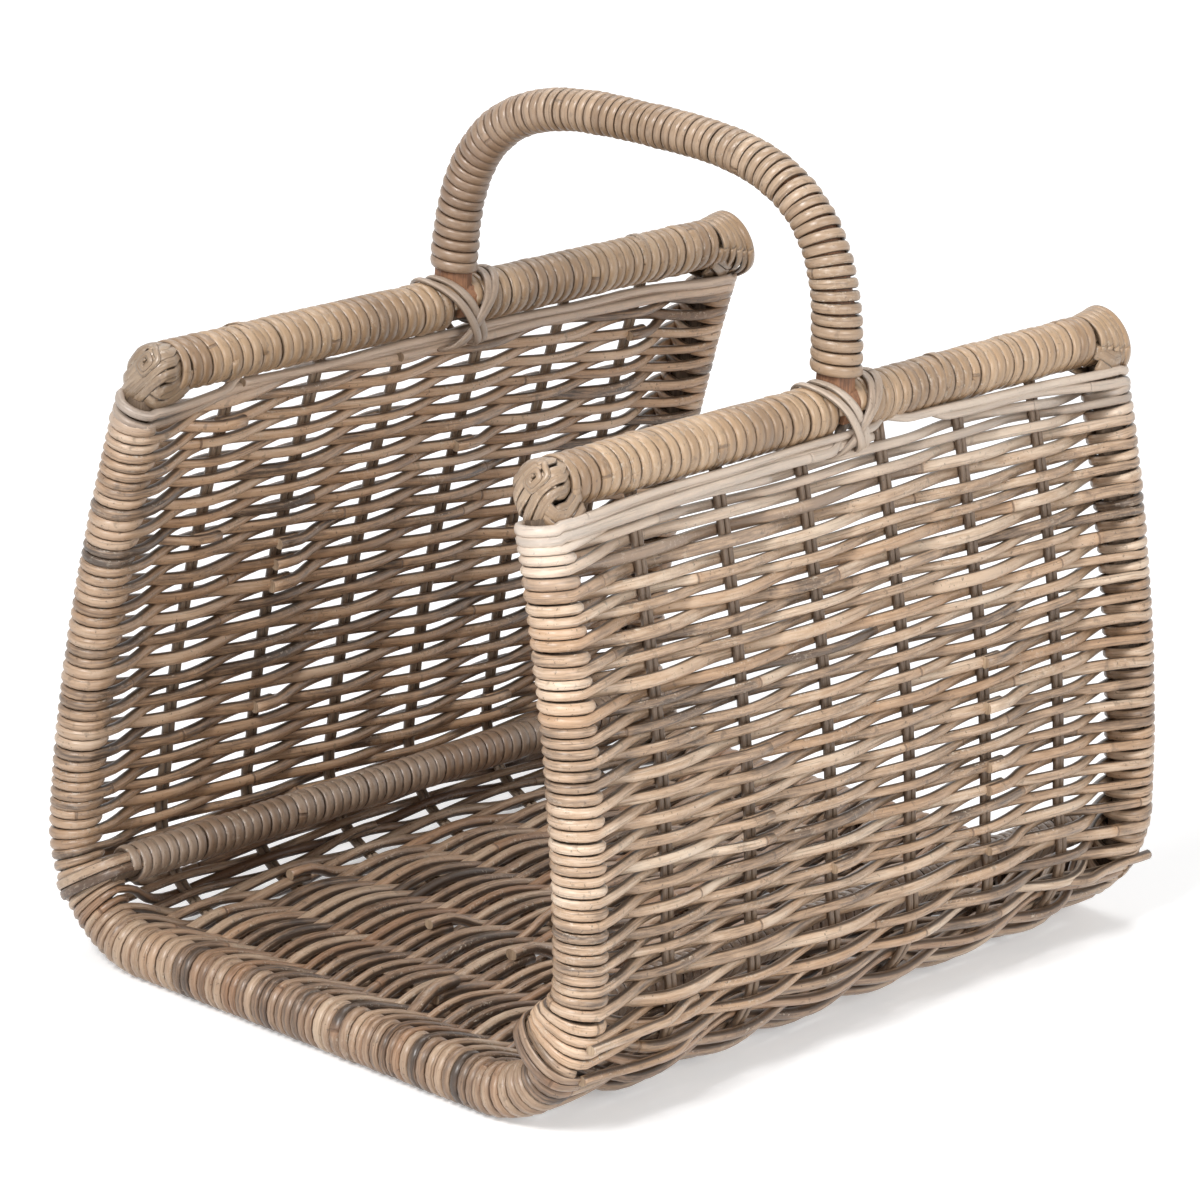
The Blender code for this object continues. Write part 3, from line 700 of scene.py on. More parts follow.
@dataclass
class WovenPanel:
    """Rows of strand woven over and under the stakes and wound round the frames."""

    sizes: TrugSizes
    section: Section
    name: str
    node: str
    start: float
    pitch: float
    rows: int
    mirrored: bool = False
    seed: int = 1
    cuts: int = 9
    cut_posts: tuple[int, ...] = (1, 3, 5)
    squeeze: float = 0.0
    turn_radius: float = 0.01275
    crossing: float = 0.0054
    strand: Outline = Outline(0.00322, 0.0031, 2.3, 10)
    bay_steps: int = 8
    turn_steps: int = 16
    edge_ease: float = 0.030
    lift: float = 0.0042
    uneven: float = 0.13
    bulge: float = 0.0
    bulge_start: float = 0.0
    swell: float = 0.07
    drift: float = 0.00062
    own_drift: float = 0.0005
    bundle_level: float = 0.0169
    bundle_pitch: float = 0.0035
    bundle_depths: tuple[float, ...] = (0.0032, 0.0012, 0.0040, 0.0020)

    def __post_init__(self) -> None:
        """Draws each row's thickness and gives it the room that it takes."""
        chance = np.random.default_rng(self.seed)
        self.widths = np.clip(chance.normal(1, self.uneven, self.rows), 0.8, 1.24)
        room = (self.widths[1:] + self.widths[:-1]) / 2
        room *= self.pitch * (self.rows - 1) / room.sum()
        self.levels = self.start + np.concatenate([[0.0], np.cumsum(room)])

    def offset(self, post: int, row: int) -> float:
        """How far out a row passes a post; posts count the front frame as 0."""
        side = 1 if (post + row) % 2 == 0 else -1
        last = self.sizes.stake_pairs + 1
        return side * (self.turn_radius if post in (0, last) else self.crossing)

    def row_route(self, row: int) -> tuple[Array, Array, Array]:
        """One row between the frames.

        Args:
            row: the row's number from the panel's start.

        Returns:
            Distances along the section, from front to rear, and outward.
        """
        last = self.sizes.stake_pairs + 1
        posts = list(range(last + 1))
        if row % 2:
            posts.reverse()
        share = np.arange(self.bay_steps) / self.bay_steps
        ease = (1 - np.cos(math.pi * share)) / 2
        y, out = [], []
        for here, there in zip(posts, posts[1:]):
            y.append((here + (there - here) * share) * self.sizes.bay - self.sizes.frame_y)
            first, second = self.offset(here, row), self.offset(there, row)
            out.append(first + (second - first) * ease)
        y_all = np.concatenate(y)
        from_start = np.abs(y_all - y_all[0])
        to_end = 2 * self.sizes.frame_y - from_start
        rise = np.clip(1 - from_start / self.edge_ease, 0, 1) ** 2
        fall = np.clip(1 - to_end / self.edge_ease, 0, 1) ** 2
        level = self.levels[row] + self.pitch / 4 * (rise - fall)
        if self.squeeze:
            inward = smooth((np.minimum(from_start, to_end) - 0.01) / 0.09)
            level = level - self.squeeze * max(0, 1 - row / 6) * inward
        return level, y_all, np.concatenate(out)

    def turn_route(self, row: int) -> tuple[Array, Array, Array]:
        """One and a half turns round a frame after a row, from inside to outside."""
        steps = self.turn_steps * 3 // 2
        share = np.arange(steps) / steps
        angle = share * 3 * math.pi - math.pi / 2
        way = 1 if row % 2 == 0 else -1
        y = way * (self.sizes.frame_y + self.turn_radius * np.cos(angle))
        first = self.levels[row] - self.pitch / 4
        level = first + (self.levels[row + 1] + self.pitch / 4 - first) * share
        return level, y, self.turn_radius * np.sin(angle)

    def hook_route(self, row: int) -> tuple[Array, Array, Array]:
        """Half a turn round the front frame before the first row or after the last."""
        share = np.arange(self.turn_steps // 2) / (self.turn_steps // 2)
        angle = share * math.pi - math.pi / 2
        y = -(self.sizes.frame_y + self.turn_radius * np.cos(angle))
        climb = self.pitch / 2 * share
        level = self.levels[row] - self.pitch / 4 + climb
        return level, y, self.turn_radius * np.sin(angle)

    def wander(self, level: Array, y: Array) -> Array:
        """The small drift of the rows that neighbours share."""
        chance = np.random.default_rng(self.seed)
        total = np.zeros_like(y)
        for _ in range(4):
            waves = chance.uniform(1.5, 4.5, 2)
            phase = chance.uniform(0, 2 * math.pi)
            total += np.sin(2 * math.pi * (y * waves[0] + level * waves[1] * 0.8) + phase)
        return total * self.drift

    def own_wander(self, y: Array, chance: np.random.Generator) -> Array:
        """The small drift that each row has of its own, nothing at the frames."""
        total = np.zeros_like(y)
        for _ in range(2):
            total += np.sin(y * chance.uniform(18, 60) + chance.uniform(0, 2 * math.pi))
        fade = np.clip((self.sizes.frame_y - np.abs(y)) / 0.05, 0, 1)
        return total * fade * self.own_drift

    def routes(self) -> list[tuple[Array, Array, Array, Array]]:
        """The panel's strand, cut into the lengths it was woven from."""
        chance = np.random.default_rng(self.seed + 40)
        chosen = set(chance.choice(np.arange(2, self.rows - 2), self.cuts, replace=False))
        parts = [(*self.hook_route(0), self.widths[0])]
        marks = []
        count = len(parts[0][0])
        for row in range(self.rows):
            level, y, out = self.row_route(row)
            parts.append((level + self.own_wander(y, chance), y, out, self.widths[row]))
            if row in chosen:
                marks.append(count + self.bay_steps * int(chance.choice(self.cut_posts)))
            count += len(y)
            if row < self.rows - 1:
                parts.append((*self.turn_route(row), (self.widths[row] + self.widths[row + 1]) / 2))
                count += len(parts[-1][0])
        parts.append((*self.hook_route(self.rows - 1), self.widths[-1]))
        level, y, out = (np.concatenate([part[i] for part in parts]) for i in range(3))
        near = smooth((0.045 - self.sizes.frame_y - y) / 0.03)
        deep = smooth((level - self.levels[-1] + 0.044) / 0.03)
        early = smooth((self.levels[0] + 0.028 - level) / 0.02)
        out = np.where(out < 0, out * (1 + near * (self.bulge * deep + self.bulge_start * early)), out)
        width = np.concatenate([np.full(len(part[0]), part[3]) for part in parts])
        width = np.convolve(np.pad(width, 6, mode="edge"), np.ones(13) / 13, mode="valid")
        width = width * (1 + self.swell * smooth((self.sizes.frame_y - np.abs(y) - 0.01) / 0.04))
        pieces = []
        begin = 0
        step = self.sizes.bay / self.bay_steps
        for mark in sorted(marks):
            stop = mark + 2
            piece_out = out[begin:stop].copy()
            behind = (np.arange(begin, stop) - mark) * step
            piece_out += np.sign(out[mark]) * self.lift * smooth((behind + 0.036) / 0.030)
            pieces.append((level[begin:stop], y[begin:stop], piece_out, width[begin:stop]))
            begin = mark - 1
        pieces.append((level[begin:], y[begin:], out[begin:], width[begin:]))
        return pieces

    def place(self, level: Array, y: Array, out: Array) -> tuple[Array, Array]:
        """Points on the sheet and the level way there, on the panel's own side."""
        broad = self.section.way(level)
        if self.mirrored:
            broad = broad * np.array([-1, 1, 1])
        return self.section.place(level, y, out, self.mirrored), broad

    def fan(self, level: Array, out: Array) -> Array:
        """How much wider a strand lies outside the corner's bend, and narrower inside it."""
        from_end = np.minimum(level, self.section.length - level)
        bent = (from_end > self.section.corner_mark) & (from_end < self.section.corner_end)
        return 1 + 0.8 * out / self.sizes.corner_radius * bent

    def build(
        self, finishes: Finishes, skin: bpy.types.Material, bundles: Sequence = (), tails: Sequence = ()
    ) -> None:
        """Makes the panel.

        Args:
            finishes: the trug's materials.
            skin: the panel's own finish.
            bundles: the extra strands under the rail, as end, side of the sheet and reaches.
            tails: the short strands with cut ends on a frame, as end, row, poke and length.
        """
        mesh = StrandMesh()
        for level, y, out, width in self.routes():
            level = level + self.wander(level, y)
            points, broad = self.place(level, y, out)
            mesh.add(points, broad, self.strand, width * self.fan(level, out))
        for bundle in bundles:
            self.add_bundle(mesh, *bundle)
        for tail in tails:
            self.add_tail(mesh, *tail)
        ride(mesh.finish(self.name, skin, finishes.cut), "weathered_rattan", self.node)

    def add_bundle(self, mesh: StrandMesh, end: End, outward: int, reaches: Sequence[float]) -> None:
        """Lays strands that leave a frame's top turns and run along under the rail.

        Args:
            mesh: what collects the strands.
            end: the frame that they start from.
            outward: +1 outside the sheet, -1 inside it.
            reaches: how far each runs from the frame, the topmost first; a negative one ends
                tucked up under the rail's binding.
        """
        chance = np.random.default_rng(self.seed + 90 + end.value)
        top = self.levels[0] - self.pitch / 4
        for index, reach in enumerate(reaches):
            rows_up = 1.5 if index < (len(reaches) + 1) // 2 else 0.5
            level_here = top - self.pitch * rows_up + 0.0008 * (index % 2)
            turn = np.linspace(-math.pi / 2, math.pi / 2, 12)[:-1]
            far = abs(reach)
            run = np.linspace(0, far, max(24, int(far / 0.005)))
            y = np.concatenate([self.sizes.frame_y + self.turn_radius * np.cos(turn), self.sizes.frame_y - run])
            resting = self.crossing + self.bundle_depths[index % 4] + 0.0006 * np.sin(run * 55 + index)
            out_run = self.turn_radius + (resting - self.turn_radius) * smooth(run / 0.075)
            goal = self.bundle_level + self.bundle_pitch * index
            goal = goal + 0.0009 * np.sin(run * chance.uniform(20, 40) + chance.uniform(0, 6))
            level_run = level_here + (goal - level_here) * smooth(run / chance.uniform(0.10, 0.14))
            if reach < 0:
                tuck = smooth((run - far + 0.03) / 0.03)
                level_run = level_run + (0.010 - level_run) * tuck
                out_run = out_run * (1 - 0.8 * tuck)
            out = np.concatenate([self.turn_radius * np.sin(turn), out_run])
            level = np.concatenate([level_here + 0.0015 * np.sin(turn), level_run])
            points, broad = self.place(level, end.value * y, outward * out)
            width = chance.uniform(0.82, 1.02) - 0.08 * np.linspace(0, 1, len(y))
            mesh.add(points, broad, self.strand, width)

    def add_tail(self, mesh: StrandMesh, end: End, row: int, poke: float, length: float) -> None:
        """Lays a short strand whose cut end shows on a frame's outer side.

        Args:
            mesh: what collects the strands.
            end: the frame that it starts on.
            row: the row that it runs beside.
            poke: how far its cut end stands past the frame's middle.
            length: how long it is.
        """
        run = np.linspace(0, length, 30)
        sink = smooth((run - length + 0.04) / 0.04)
        out = self.turn_radius + 0.0042 + (self.crossing - self.turn_radius + 0.0006) * smooth(run / 0.06)
        out = out * (1 - sink)
        y = end.value * (self.sizes.frame_y + poke - run)
        level = self.levels[row] + 0.0028 + 0.0006 * np.sin(run * 60)
        points, broad = self.place(level, y, out)
        mesh.add(points, broad, self.strand, 0.92)


@dataclass
class Stakes:
    """The pairs of thin rods that the panels are woven on."""

    sizes: TrugSizes
    section: Section
    rod: Outline = Outline(0.0021, 0.0021, 2.0, 8)
    spread: float = 0.0023
    start: float = 0.0150

    def build(self, finishes: Finishes) -> None:
        """Makes each rod and lets it stand for the part's rod."""
        chance = np.random.default_rng(11)
        for pair in range(self.sizes.stake_pairs):
            middle = (pair + 1) * self.sizes.bay - self.sizes.frame_y
            for word, way in (("front", -1), ("rear", 1)):
                level = np.linspace(self.start, self.section.length - self.start, 170)
                wobble = 0.0004 * np.sin(level * chance.uniform(18, 30) + chance.uniform(0, 6))
                y = middle + way * self.spread + wobble * way
                points = self.section.place(level, y, np.zeros_like(level))
                mesh = StrandMesh()
                mesh.add(points, steady((0, 1, 0), len(points)), self.rod)
                node = f"stake_{pair + 1}_{word}_rod"
                ride(mesh.finish(f"{node}_skin", finishes.rod, finishes.cut), "stake_rod", node)


@dataclass
class Winding:
    """A strip of cane wound round a pole from one end to the other."""

    line: Callable[[Array], Array]
    across: Callable[[Array], Array]
    upward: Callable[[Array], Array]
    radius: Callable[[Array], Array]
    pitch: Callable[[Array], Array]
    length: float
    strip: Outline
    seed: int = 1
    turn_steps: int = 22
    loose: float = 0.0003
    phase: float = 0.0

    def add_to(self, mesh: StrandMesh, handed: int = 1) -> None:
        """Winds the strip into a mesh.

        Args:
            mesh: what collects the strips.
            handed: which way the strip climbs.
        """
        chance = np.random.default_rng(self.seed)
        samples = np.linspace(0, self.length, 400)
        turns = np.concatenate([[0.0], np.cumsum(np.diff(samples) / self.pitch(samples[1:]))])
        turns *= max(1, round(turns[-1])) / turns[-1]
        count = int(turns[-1] * self.turn_steps)
        turn = np.linspace(0, turns[-1], count)
        whole = np.arange(0, math.ceil(turns[-1]) + 2)
        slip = np.interp(turn, whole, chance.normal(0, self.loose, len(whole)))
        swell = np.interp(turn, whole, chance.normal(0, self.loose * 0.7, len(whole)))
        u = np.clip(np.interp(turn, turns, samples) + slip, 0, self.length)
        angle = handed * 2 * math.pi * turn + self.phase
        reach = self.radius(u) + self.strip.half_thickness * 0.92 + swell
        centre = self.line(u)
        points = centre + self.across(u) * (reach * np.cos(angle))[:, None]
        points = points + self.upward(u) * (reach * np.sin(angle))[:, None]
        broad = read_off(u, samples, np.gradient(self.line(samples), axis=0))
        uneven = 1 + np.interp(turn, whole, chance.normal(0, 0.03, len(whole)))
        mesh.add(points, broad, self.strip, self.pitch(u) / self.pitch(samples).mean() * uneven)


def straight_winding(
    centre: Array,
    way: int,
    length: float,
    radius: float,
    pitch: float,
    strip: Outline,
    seed: int,
    proud: float = 0.0,
) -> Winding:
    """A winding round a bar that lies along Y.

    Args:
        centre: where the winding starts, on the bar's axis.
        way: +1 towards the rear, -1 towards the front.
        length: how far it runs.
        radius: the bar's radius.
        pitch: the distance from turn to turn.
        strip: the strip's outline.
        seed: the seed of its small irregularities.
        proud: how much further out its middle stands.

    Returns:
        The winding.
    """
    return Winding(
        lambda u: centre + np.outer(way * u, (0, 1, 0)),
        lambda u: steady((1, 0, 0), len(u)),
        lambda u: steady((0, 0, 1), len(u)),
        lambda u: radius + proud * np.sin(math.pi * u / length),
        lambda u: np.full_like(u, pitch),
        length,
        strip,
        seed,
    )


@dataclass
class Rail:
    """One rail: its cane binding before and behind the handle foot, and its crossed ends.

    Each leaning turn has its place on top and its place below, measured from the rail's end,
    and how far it hangs under the rail's middle.
    """

    sizes: TrugSizes
    side: Side
    pole_radius: float = 0.0115
    strip: Outline = Outline(0.0041, 0.0022, 2.3, 10)
    pitch: float = 0.0083
    foot_room: float = 0.0092
    end_room: float = 0.0215
    end_strip: Outline = Outline(0.0031, 0.0012, 2.4, 8)
    under_strip: Outline = Outline(0.0040, 0.0011, 2.4, 8)
    lean_strip: Outline = Outline(0.0034, 0.0016, 2.3, 8)
    splice_strip: Outline = Outline(0.0030, 0.0009, 2.3, 8)
    knot_strip: Outline = Outline(0.0019, 0.0008, 2.4, 8)
    lean: float = math.radians(53)
    neck: float = 0.0150
    neck_taper: float = 0.24
    neck_swing: float = 0.55
    strips: int = 6
    cover: float = 0.83
    dome: tuple[float, float, float] = (0.0140, 0.0185, 0.0108)
    dome_base: float = 0.0105
    dome_drop: float = 0.0052
    dome_power: float = 2.9
    elbow: float = 0.28
    lean_reach: float = 0.0140
    lean_growth: float = 0.0007
    leans: dict[End, tuple[tuple[float, float, float], ...]] = field(
        default_factory=lambda: {
            End.FRONT: ((-0.0208, -0.0193, 0.0142),),
            End.REAR: (
                (-0.0205, -0.0180, 0.0145),
                (-0.0168, -0.0098, 0.0165),
                (-0.0136, -0.0022, 0.0195),
                (-0.0100, 0.0042, 0.0225),
                (-0.0060, 0.0086, 0.0240),
            ),
        }
    )

    @property
    def half(self) -> float:
        """Half the rail's length."""
        return self.sizes.frame_y + self.sizes.rail_overhang

    @property
    def middle(self) -> Array:
        """The rail's middle."""
        return np.array([self.side.value * self.sizes.top_half_width, 0, self.sizes.rail_z])

    def build(self, finishes: Finishes) -> None:
        """Winds both halves and crosses the ends."""
        for end in End:
            start = self.middle + np.array([0, end.value * self.foot_room, 0])
            length = self.half - self.foot_room - self.end_room
            seed = 20 + 3 * self.side.value + end.value
            mesh = StrandMesh()
            winding = straight_winding(start, end.value, length, self.pole_radius, self.pitch, self.strip, seed)
            winding.add_to(mesh)
            self.add_splice(mesh, end, seed)
            self.add_fan(mesh, end, seed)
            node = f"{self.side.word}_rail_{end.word}"
            ride(mesh.finish(f"{node}_cane", finishes.binding, finishes.cut), "binding_cane", f"{node}_binding")
            mesh = StrandMesh()
            self.add_face(mesh, end, seed, -self.lean, 0.0, 5, self.under_strip)
            self.add_face(mesh, end, seed + 1, self.lean, 0.0012, self.strips, self.end_strip)
            self.add_knot(mesh, end)
            obj = mesh.finish(f"{node}_crossed_end", finishes.crossed, finishes.cut)
            ride(obj, "binding_cane", f"{node}_cap")

    def add_splice(self, mesh: StrandMesh, end: End, seed: int) -> None:
        """Winds the strip's end steeply over its own turns, where a new length starts."""
        chance = np.random.default_rng(seed + 5)
        place = chance.uniform(0.08, 0.2)
        long = 0.026
        start = self.middle + np.array([0, end.value * place, 0])
        base = self.pole_radius + 2 * self.strip.half_thickness - 0.0022
        winding = straight_winding(start, end.value, long, base, 0.022, self.splice_strip, seed, proud=0.0013)
        winding.add_to(mesh)

    def add_fan(self, mesh: StrandMesh, end: End, seed: int) -> None:
        """Leans the last turns outward from one place on top, each over the one before.

        Args:
            mesh: what collects the turns.
            end: which end of the rail.
            seed: the seed of their small irregularities.
        """
        chance = np.random.default_rng(seed + 9)
        angle = np.linspace(0, 2 * math.pi, 49)
        flip = np.array([1, end.value, 1])
        for index, (top_y, foot_y, drop) in enumerate(self.leans[end]):
            reach = self.lean_reach + self.lean_growth * index
            top, foot = np.array([0, self.half + top_y, reach]), np.array([0, self.half + foot_y, -drop])
            long = float(np.linalg.norm(foot - top)) / 2
            down = (foot - top) / (2 * long)
            offset = (top + foot) / 2 + np.outer(-np.sin(angle) * long, down)
            offset[:, 0] = np.cos(angle) * (reach + 0.0006) + chance.normal(0, 0.0002)
            offset[:, 0] += self.side.value * self.elbow * np.clip(-offset[:, 2] - reach, 0, None)
            points = self.middle + offset * flip
            broad = np.tile(np.array([0, -down[2], down[1]]) * flip, (len(angle), 1))
            mesh.add(points, broad, self.lean_strip)

    def edge_reach(self, along: Array, start: Array) -> float:
        """How far a straight line across the end face runs before it meets the dome's rim."""
        low, high = 0.0, 2 * max(self.dome)
        for _ in range(30):
            reach = (low + high) / 2
            spot = start + along * reach
            inside = (np.abs(spot) / self.dome[:2]) ** self.dome_power
            low, high = (reach, high) if inside.sum() < 1 else (low, reach)
        return low

    def dome_normal(self, x: Array, z: Array, rise: Array, end: End) -> Array:
        """The way out of the end's dome at places measured from the dome's middle."""
        wide, tall, deep = self.dome
        steep = self.dome_power - 1
        return np.stack([
            bend(x / wide, steep) / wide,
            end.value * np.clip(rise / deep, 0, 1) ** steep / deep,
            bend(z / tall, steep) / tall,
        ], axis=1)

    def add_face(
        self, mesh: StrandMesh, end: End, seed: int, lean: float, proud: float, count: int, strip: Outline
    ) -> None:
        """Lays parallel strips across the end's dome.

        Args:
            mesh: what collects the strips.
            end: which end of the rail.
            seed: the seed of their small irregularities.
            lean: the strips' angle to the level.
            proud: how far this layer lies over the one beneath.
            count: how many strips.
            strip: their outline.
        """
        chance = np.random.default_rng(seed)
        wide, tall, deep = self.dome
        spread = (wide + tall) / 2 * self.cover
        power = 2 / self.dome_power
        angle = np.linspace(-math.pi / 2, math.pi / 2, 31)
        sine, cosine = np.sin(angle), np.clip(np.cos(angle), 0, 1)
        tail = np.linspace(1, 0.08, 9)
        for index, place in enumerate(np.linspace(-spread, spread, count)):
            tilt = lean + chance.normal(0, 0.04)
            along = np.array([math.cos(tilt), math.sin(tilt)])
            aside = np.array([-math.sin(tilt), math.cos(tilt)]) * place
            right, left = self.edge_reach(along, aside), self.edge_reach(-along, aside)
            room = max(0.05, 1 - abs(place / spread / 1.12) ** self.dome_power)
            height = deep * room ** (1 / self.dome_power)
            run = bend(sine, power) * (np.where(sine > 0, right, left) + proud)
            rise = (height + proud + 0.0003 * index) * cosine**power
            run = np.concatenate([np.full(len(tail), run[0]), run, np.full(len(tail), run[-1])])
            rise = np.concatenate([-tail * self.neck, rise, -tail[::-1] * self.neck])
            back = np.clip(-rise / self.neck, 0, 1)
            x, z = aside[0] + along[0] * run, aside[1] + along[1] * run
            shrink = 1 - self.neck_taper * back**1.4
            swing = np.sign(x) * self.neck_swing * back
            turned_x, turned_z = x * np.cos(swing) - z * np.sin(swing), x * np.sin(swing) + z * np.cos(swing)
            x, z = turned_x * shrink, turned_z * shrink
            y = end.value * (self.half - self.dome_base + rise)
            normal = self.dome_normal(x, z, rise, end)
            z = z - self.dome_drop
            x = x + self.side.value * self.elbow * np.clip(-z, 0, None)
            points = self.middle + np.stack([x, y, z], axis=1)
            mesh.add(points, np.cross(normal, np.gradient(points, axis=0)), strip)

    def add_knot(self, mesh: StrandMesh, end: End) -> None:
        """Rolls the last strip into a square spiral high on the end face, flat on its dome."""
        share = np.linspace(0, 1, 110)
        angle = 2 * math.pi * 2.1 * share + 0.6
        wide, tall, deep = self.dome
        square = 0.5
        reach = 0.0009 + 0.0052 * share
        long = bend(np.cos(angle), square) * reach * 1.15
        short = bend(np.sin(angle), square) * reach * 0.8
        x = long * math.cos(self.lean) - short * math.sin(self.lean) + 0.0030
        z = long * math.sin(self.lean) + short * math.cos(self.lean) + 0.0055 + self.dome_drop
        power = self.dome_power
        room = 1 - np.abs(x / wide) ** power - np.abs(z / tall) ** power
        rise = deep * np.clip(room, 0.05, 1) ** (1 / power)
        normal = self.dome_normal(x, z, rise, end)
        normal /= np.linalg.norm(normal, axis=1, keepdims=True)
        y = end.value * (self.half - self.dome_base + rise)
        points = self.middle + np.stack([x, y, z - self.dome_drop], axis=1)
        points = points + normal * (0.0038 - 0.0012 * share)[:, None]
        mesh.add(points, np.cross(normal, np.gradient(points, axis=0)), self.knot_strip)


@dataclass
class BaseBar:
    """One base bar: its bare pole and its cane binding."""

    sizes: TrugSizes
    side: Side
    pole_radius: float = 0.008
    strip: Outline = Outline(0.0038, 0.0019, 2.3, 10)
    pitch: float = 0.0077
    end_room: float = 0.0100
    pole: Outline = Outline(0.008, 0.008, 2.0, 20)
    pole_reach: float = 0.004
    lashing: Outline = Outline(0.0029, 0.0013, 2.4, 10)

    def build(self, finishes: Finishes) -> None:
        """Winds the bar from front to rear over its pole."""
        low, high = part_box(f"{self.side.word}_base_bar_pole")
        centre = np.array([(low[0] + high[0]) / 2, 0, (low[2] + high[2]) / 2])
        start = centre + np.array([0, self.end_room - self.sizes.frame_y, 0])
        length = 2 * (self.sizes.frame_y - self.end_room)
        mesh = StrandMesh()
        seed = 60 + self.side.value
        straight_winding(start, 1, length, self.pole_radius, self.pitch, self.strip, seed).add_to(mesh)
        node = f"{self.side.word}_base_bar"
        ride(mesh.finish(f"{node}_cane", finishes.bar, finishes.cut), "binding_cane", f"{node}_binding")
        mesh = StrandMesh()
        reach, worn_end = self.sizes.frame_y + self.pole_reach, 0.0016
        run = np.linspace(worn_end - reach, reach - worn_end, 60)
        y = np.concatenate([[-reach, 0.0006 - reach], run, [reach - 0.0006, reach]])
        worn = 1 - 0.14 * np.clip((np.abs(y) - reach + worn_end) / worn_end, 0, 1) ** 2
        mesh.add(centre + np.outer(y, (0, 1, 0)), steady((1, 0, 0), len(y)), self.pole, worn)
        # the bare pole takes the dark pole finish, partly painted shade
        obj = mesh.finish(f"{node}_bare_pole", finishes.old_pole_in_shade, finishes.old_pole_in_shade)
        ride(obj, "bare_pole", f"{node}_pole")
        mesh = StrandMesh()
        for end in End:
            for aside in (-0.0031, 0.0029):
                self.add_lashing(mesh, end, centre, aside)
        # the lashings take the floor's finish, painted shade and all
        ride(mesh.finish(f"{node}_lashings", finishes.floor, finishes.cut), "weathered_rattan")

    def add_lashing(self, mesh: StrandMesh, end: End, centre: Array, aside: float) -> None:
        """Takes one flat strip from the frame's outer side over the bar's end and under its binding.

        Args:
            mesh: what collects the strips.
            end: which end of the bar.
            centre: the bar's middle.
            aside: how far the strip lies from the bar's middle, towards the floor.
        """
        angle = self.sizes.bar_angle
        out = np.array([self.side.value * math.cos(angle), 0, -math.sin(angle)])
        down = np.array([-self.side.value * math.sin(angle), 0, -math.cos(angle)])
        hub = np.array([
            self.side.value * (self.sizes.base_half_width - self.sizes.corner_radius),
            0,
            self.sizes.floor_z + self.sizes.corner_radius,
        ])
        frame = hub + out * self.sizes.corner_radius
        inner = float((frame - centre) @ out) + math.sqrt(self.pole_radius**2 - aside**2) + 0.0011
        knots = np.array([
            (0.0158, -0.003), (0.0140, 0.0085), (0.0075, 0.0158), (-0.003, 0.0182), (-0.014, 0.0172),
            (-0.024, 0.0132), (-inner + 0.0015, 0.0072), (-inner, 0.0), (-inner, -0.0105), (-inner, -0.0215),
        ])
        marks = run_length(knots)
        even = np.linspace(0, marks[-1], 61)
        depth, forward = (
            np.convolve(np.pad(column, 4, mode="edge"), np.ones(9) / 9, mode="valid")
            for column in read_off(even, marks, knots).T
        )
        points = frame + np.outer(depth, out) + down * aside
        points[:, 1] = end.value * (self.sizes.frame_y + forward)
        mesh.add(points, steady(down, len(even)), self.lashing)


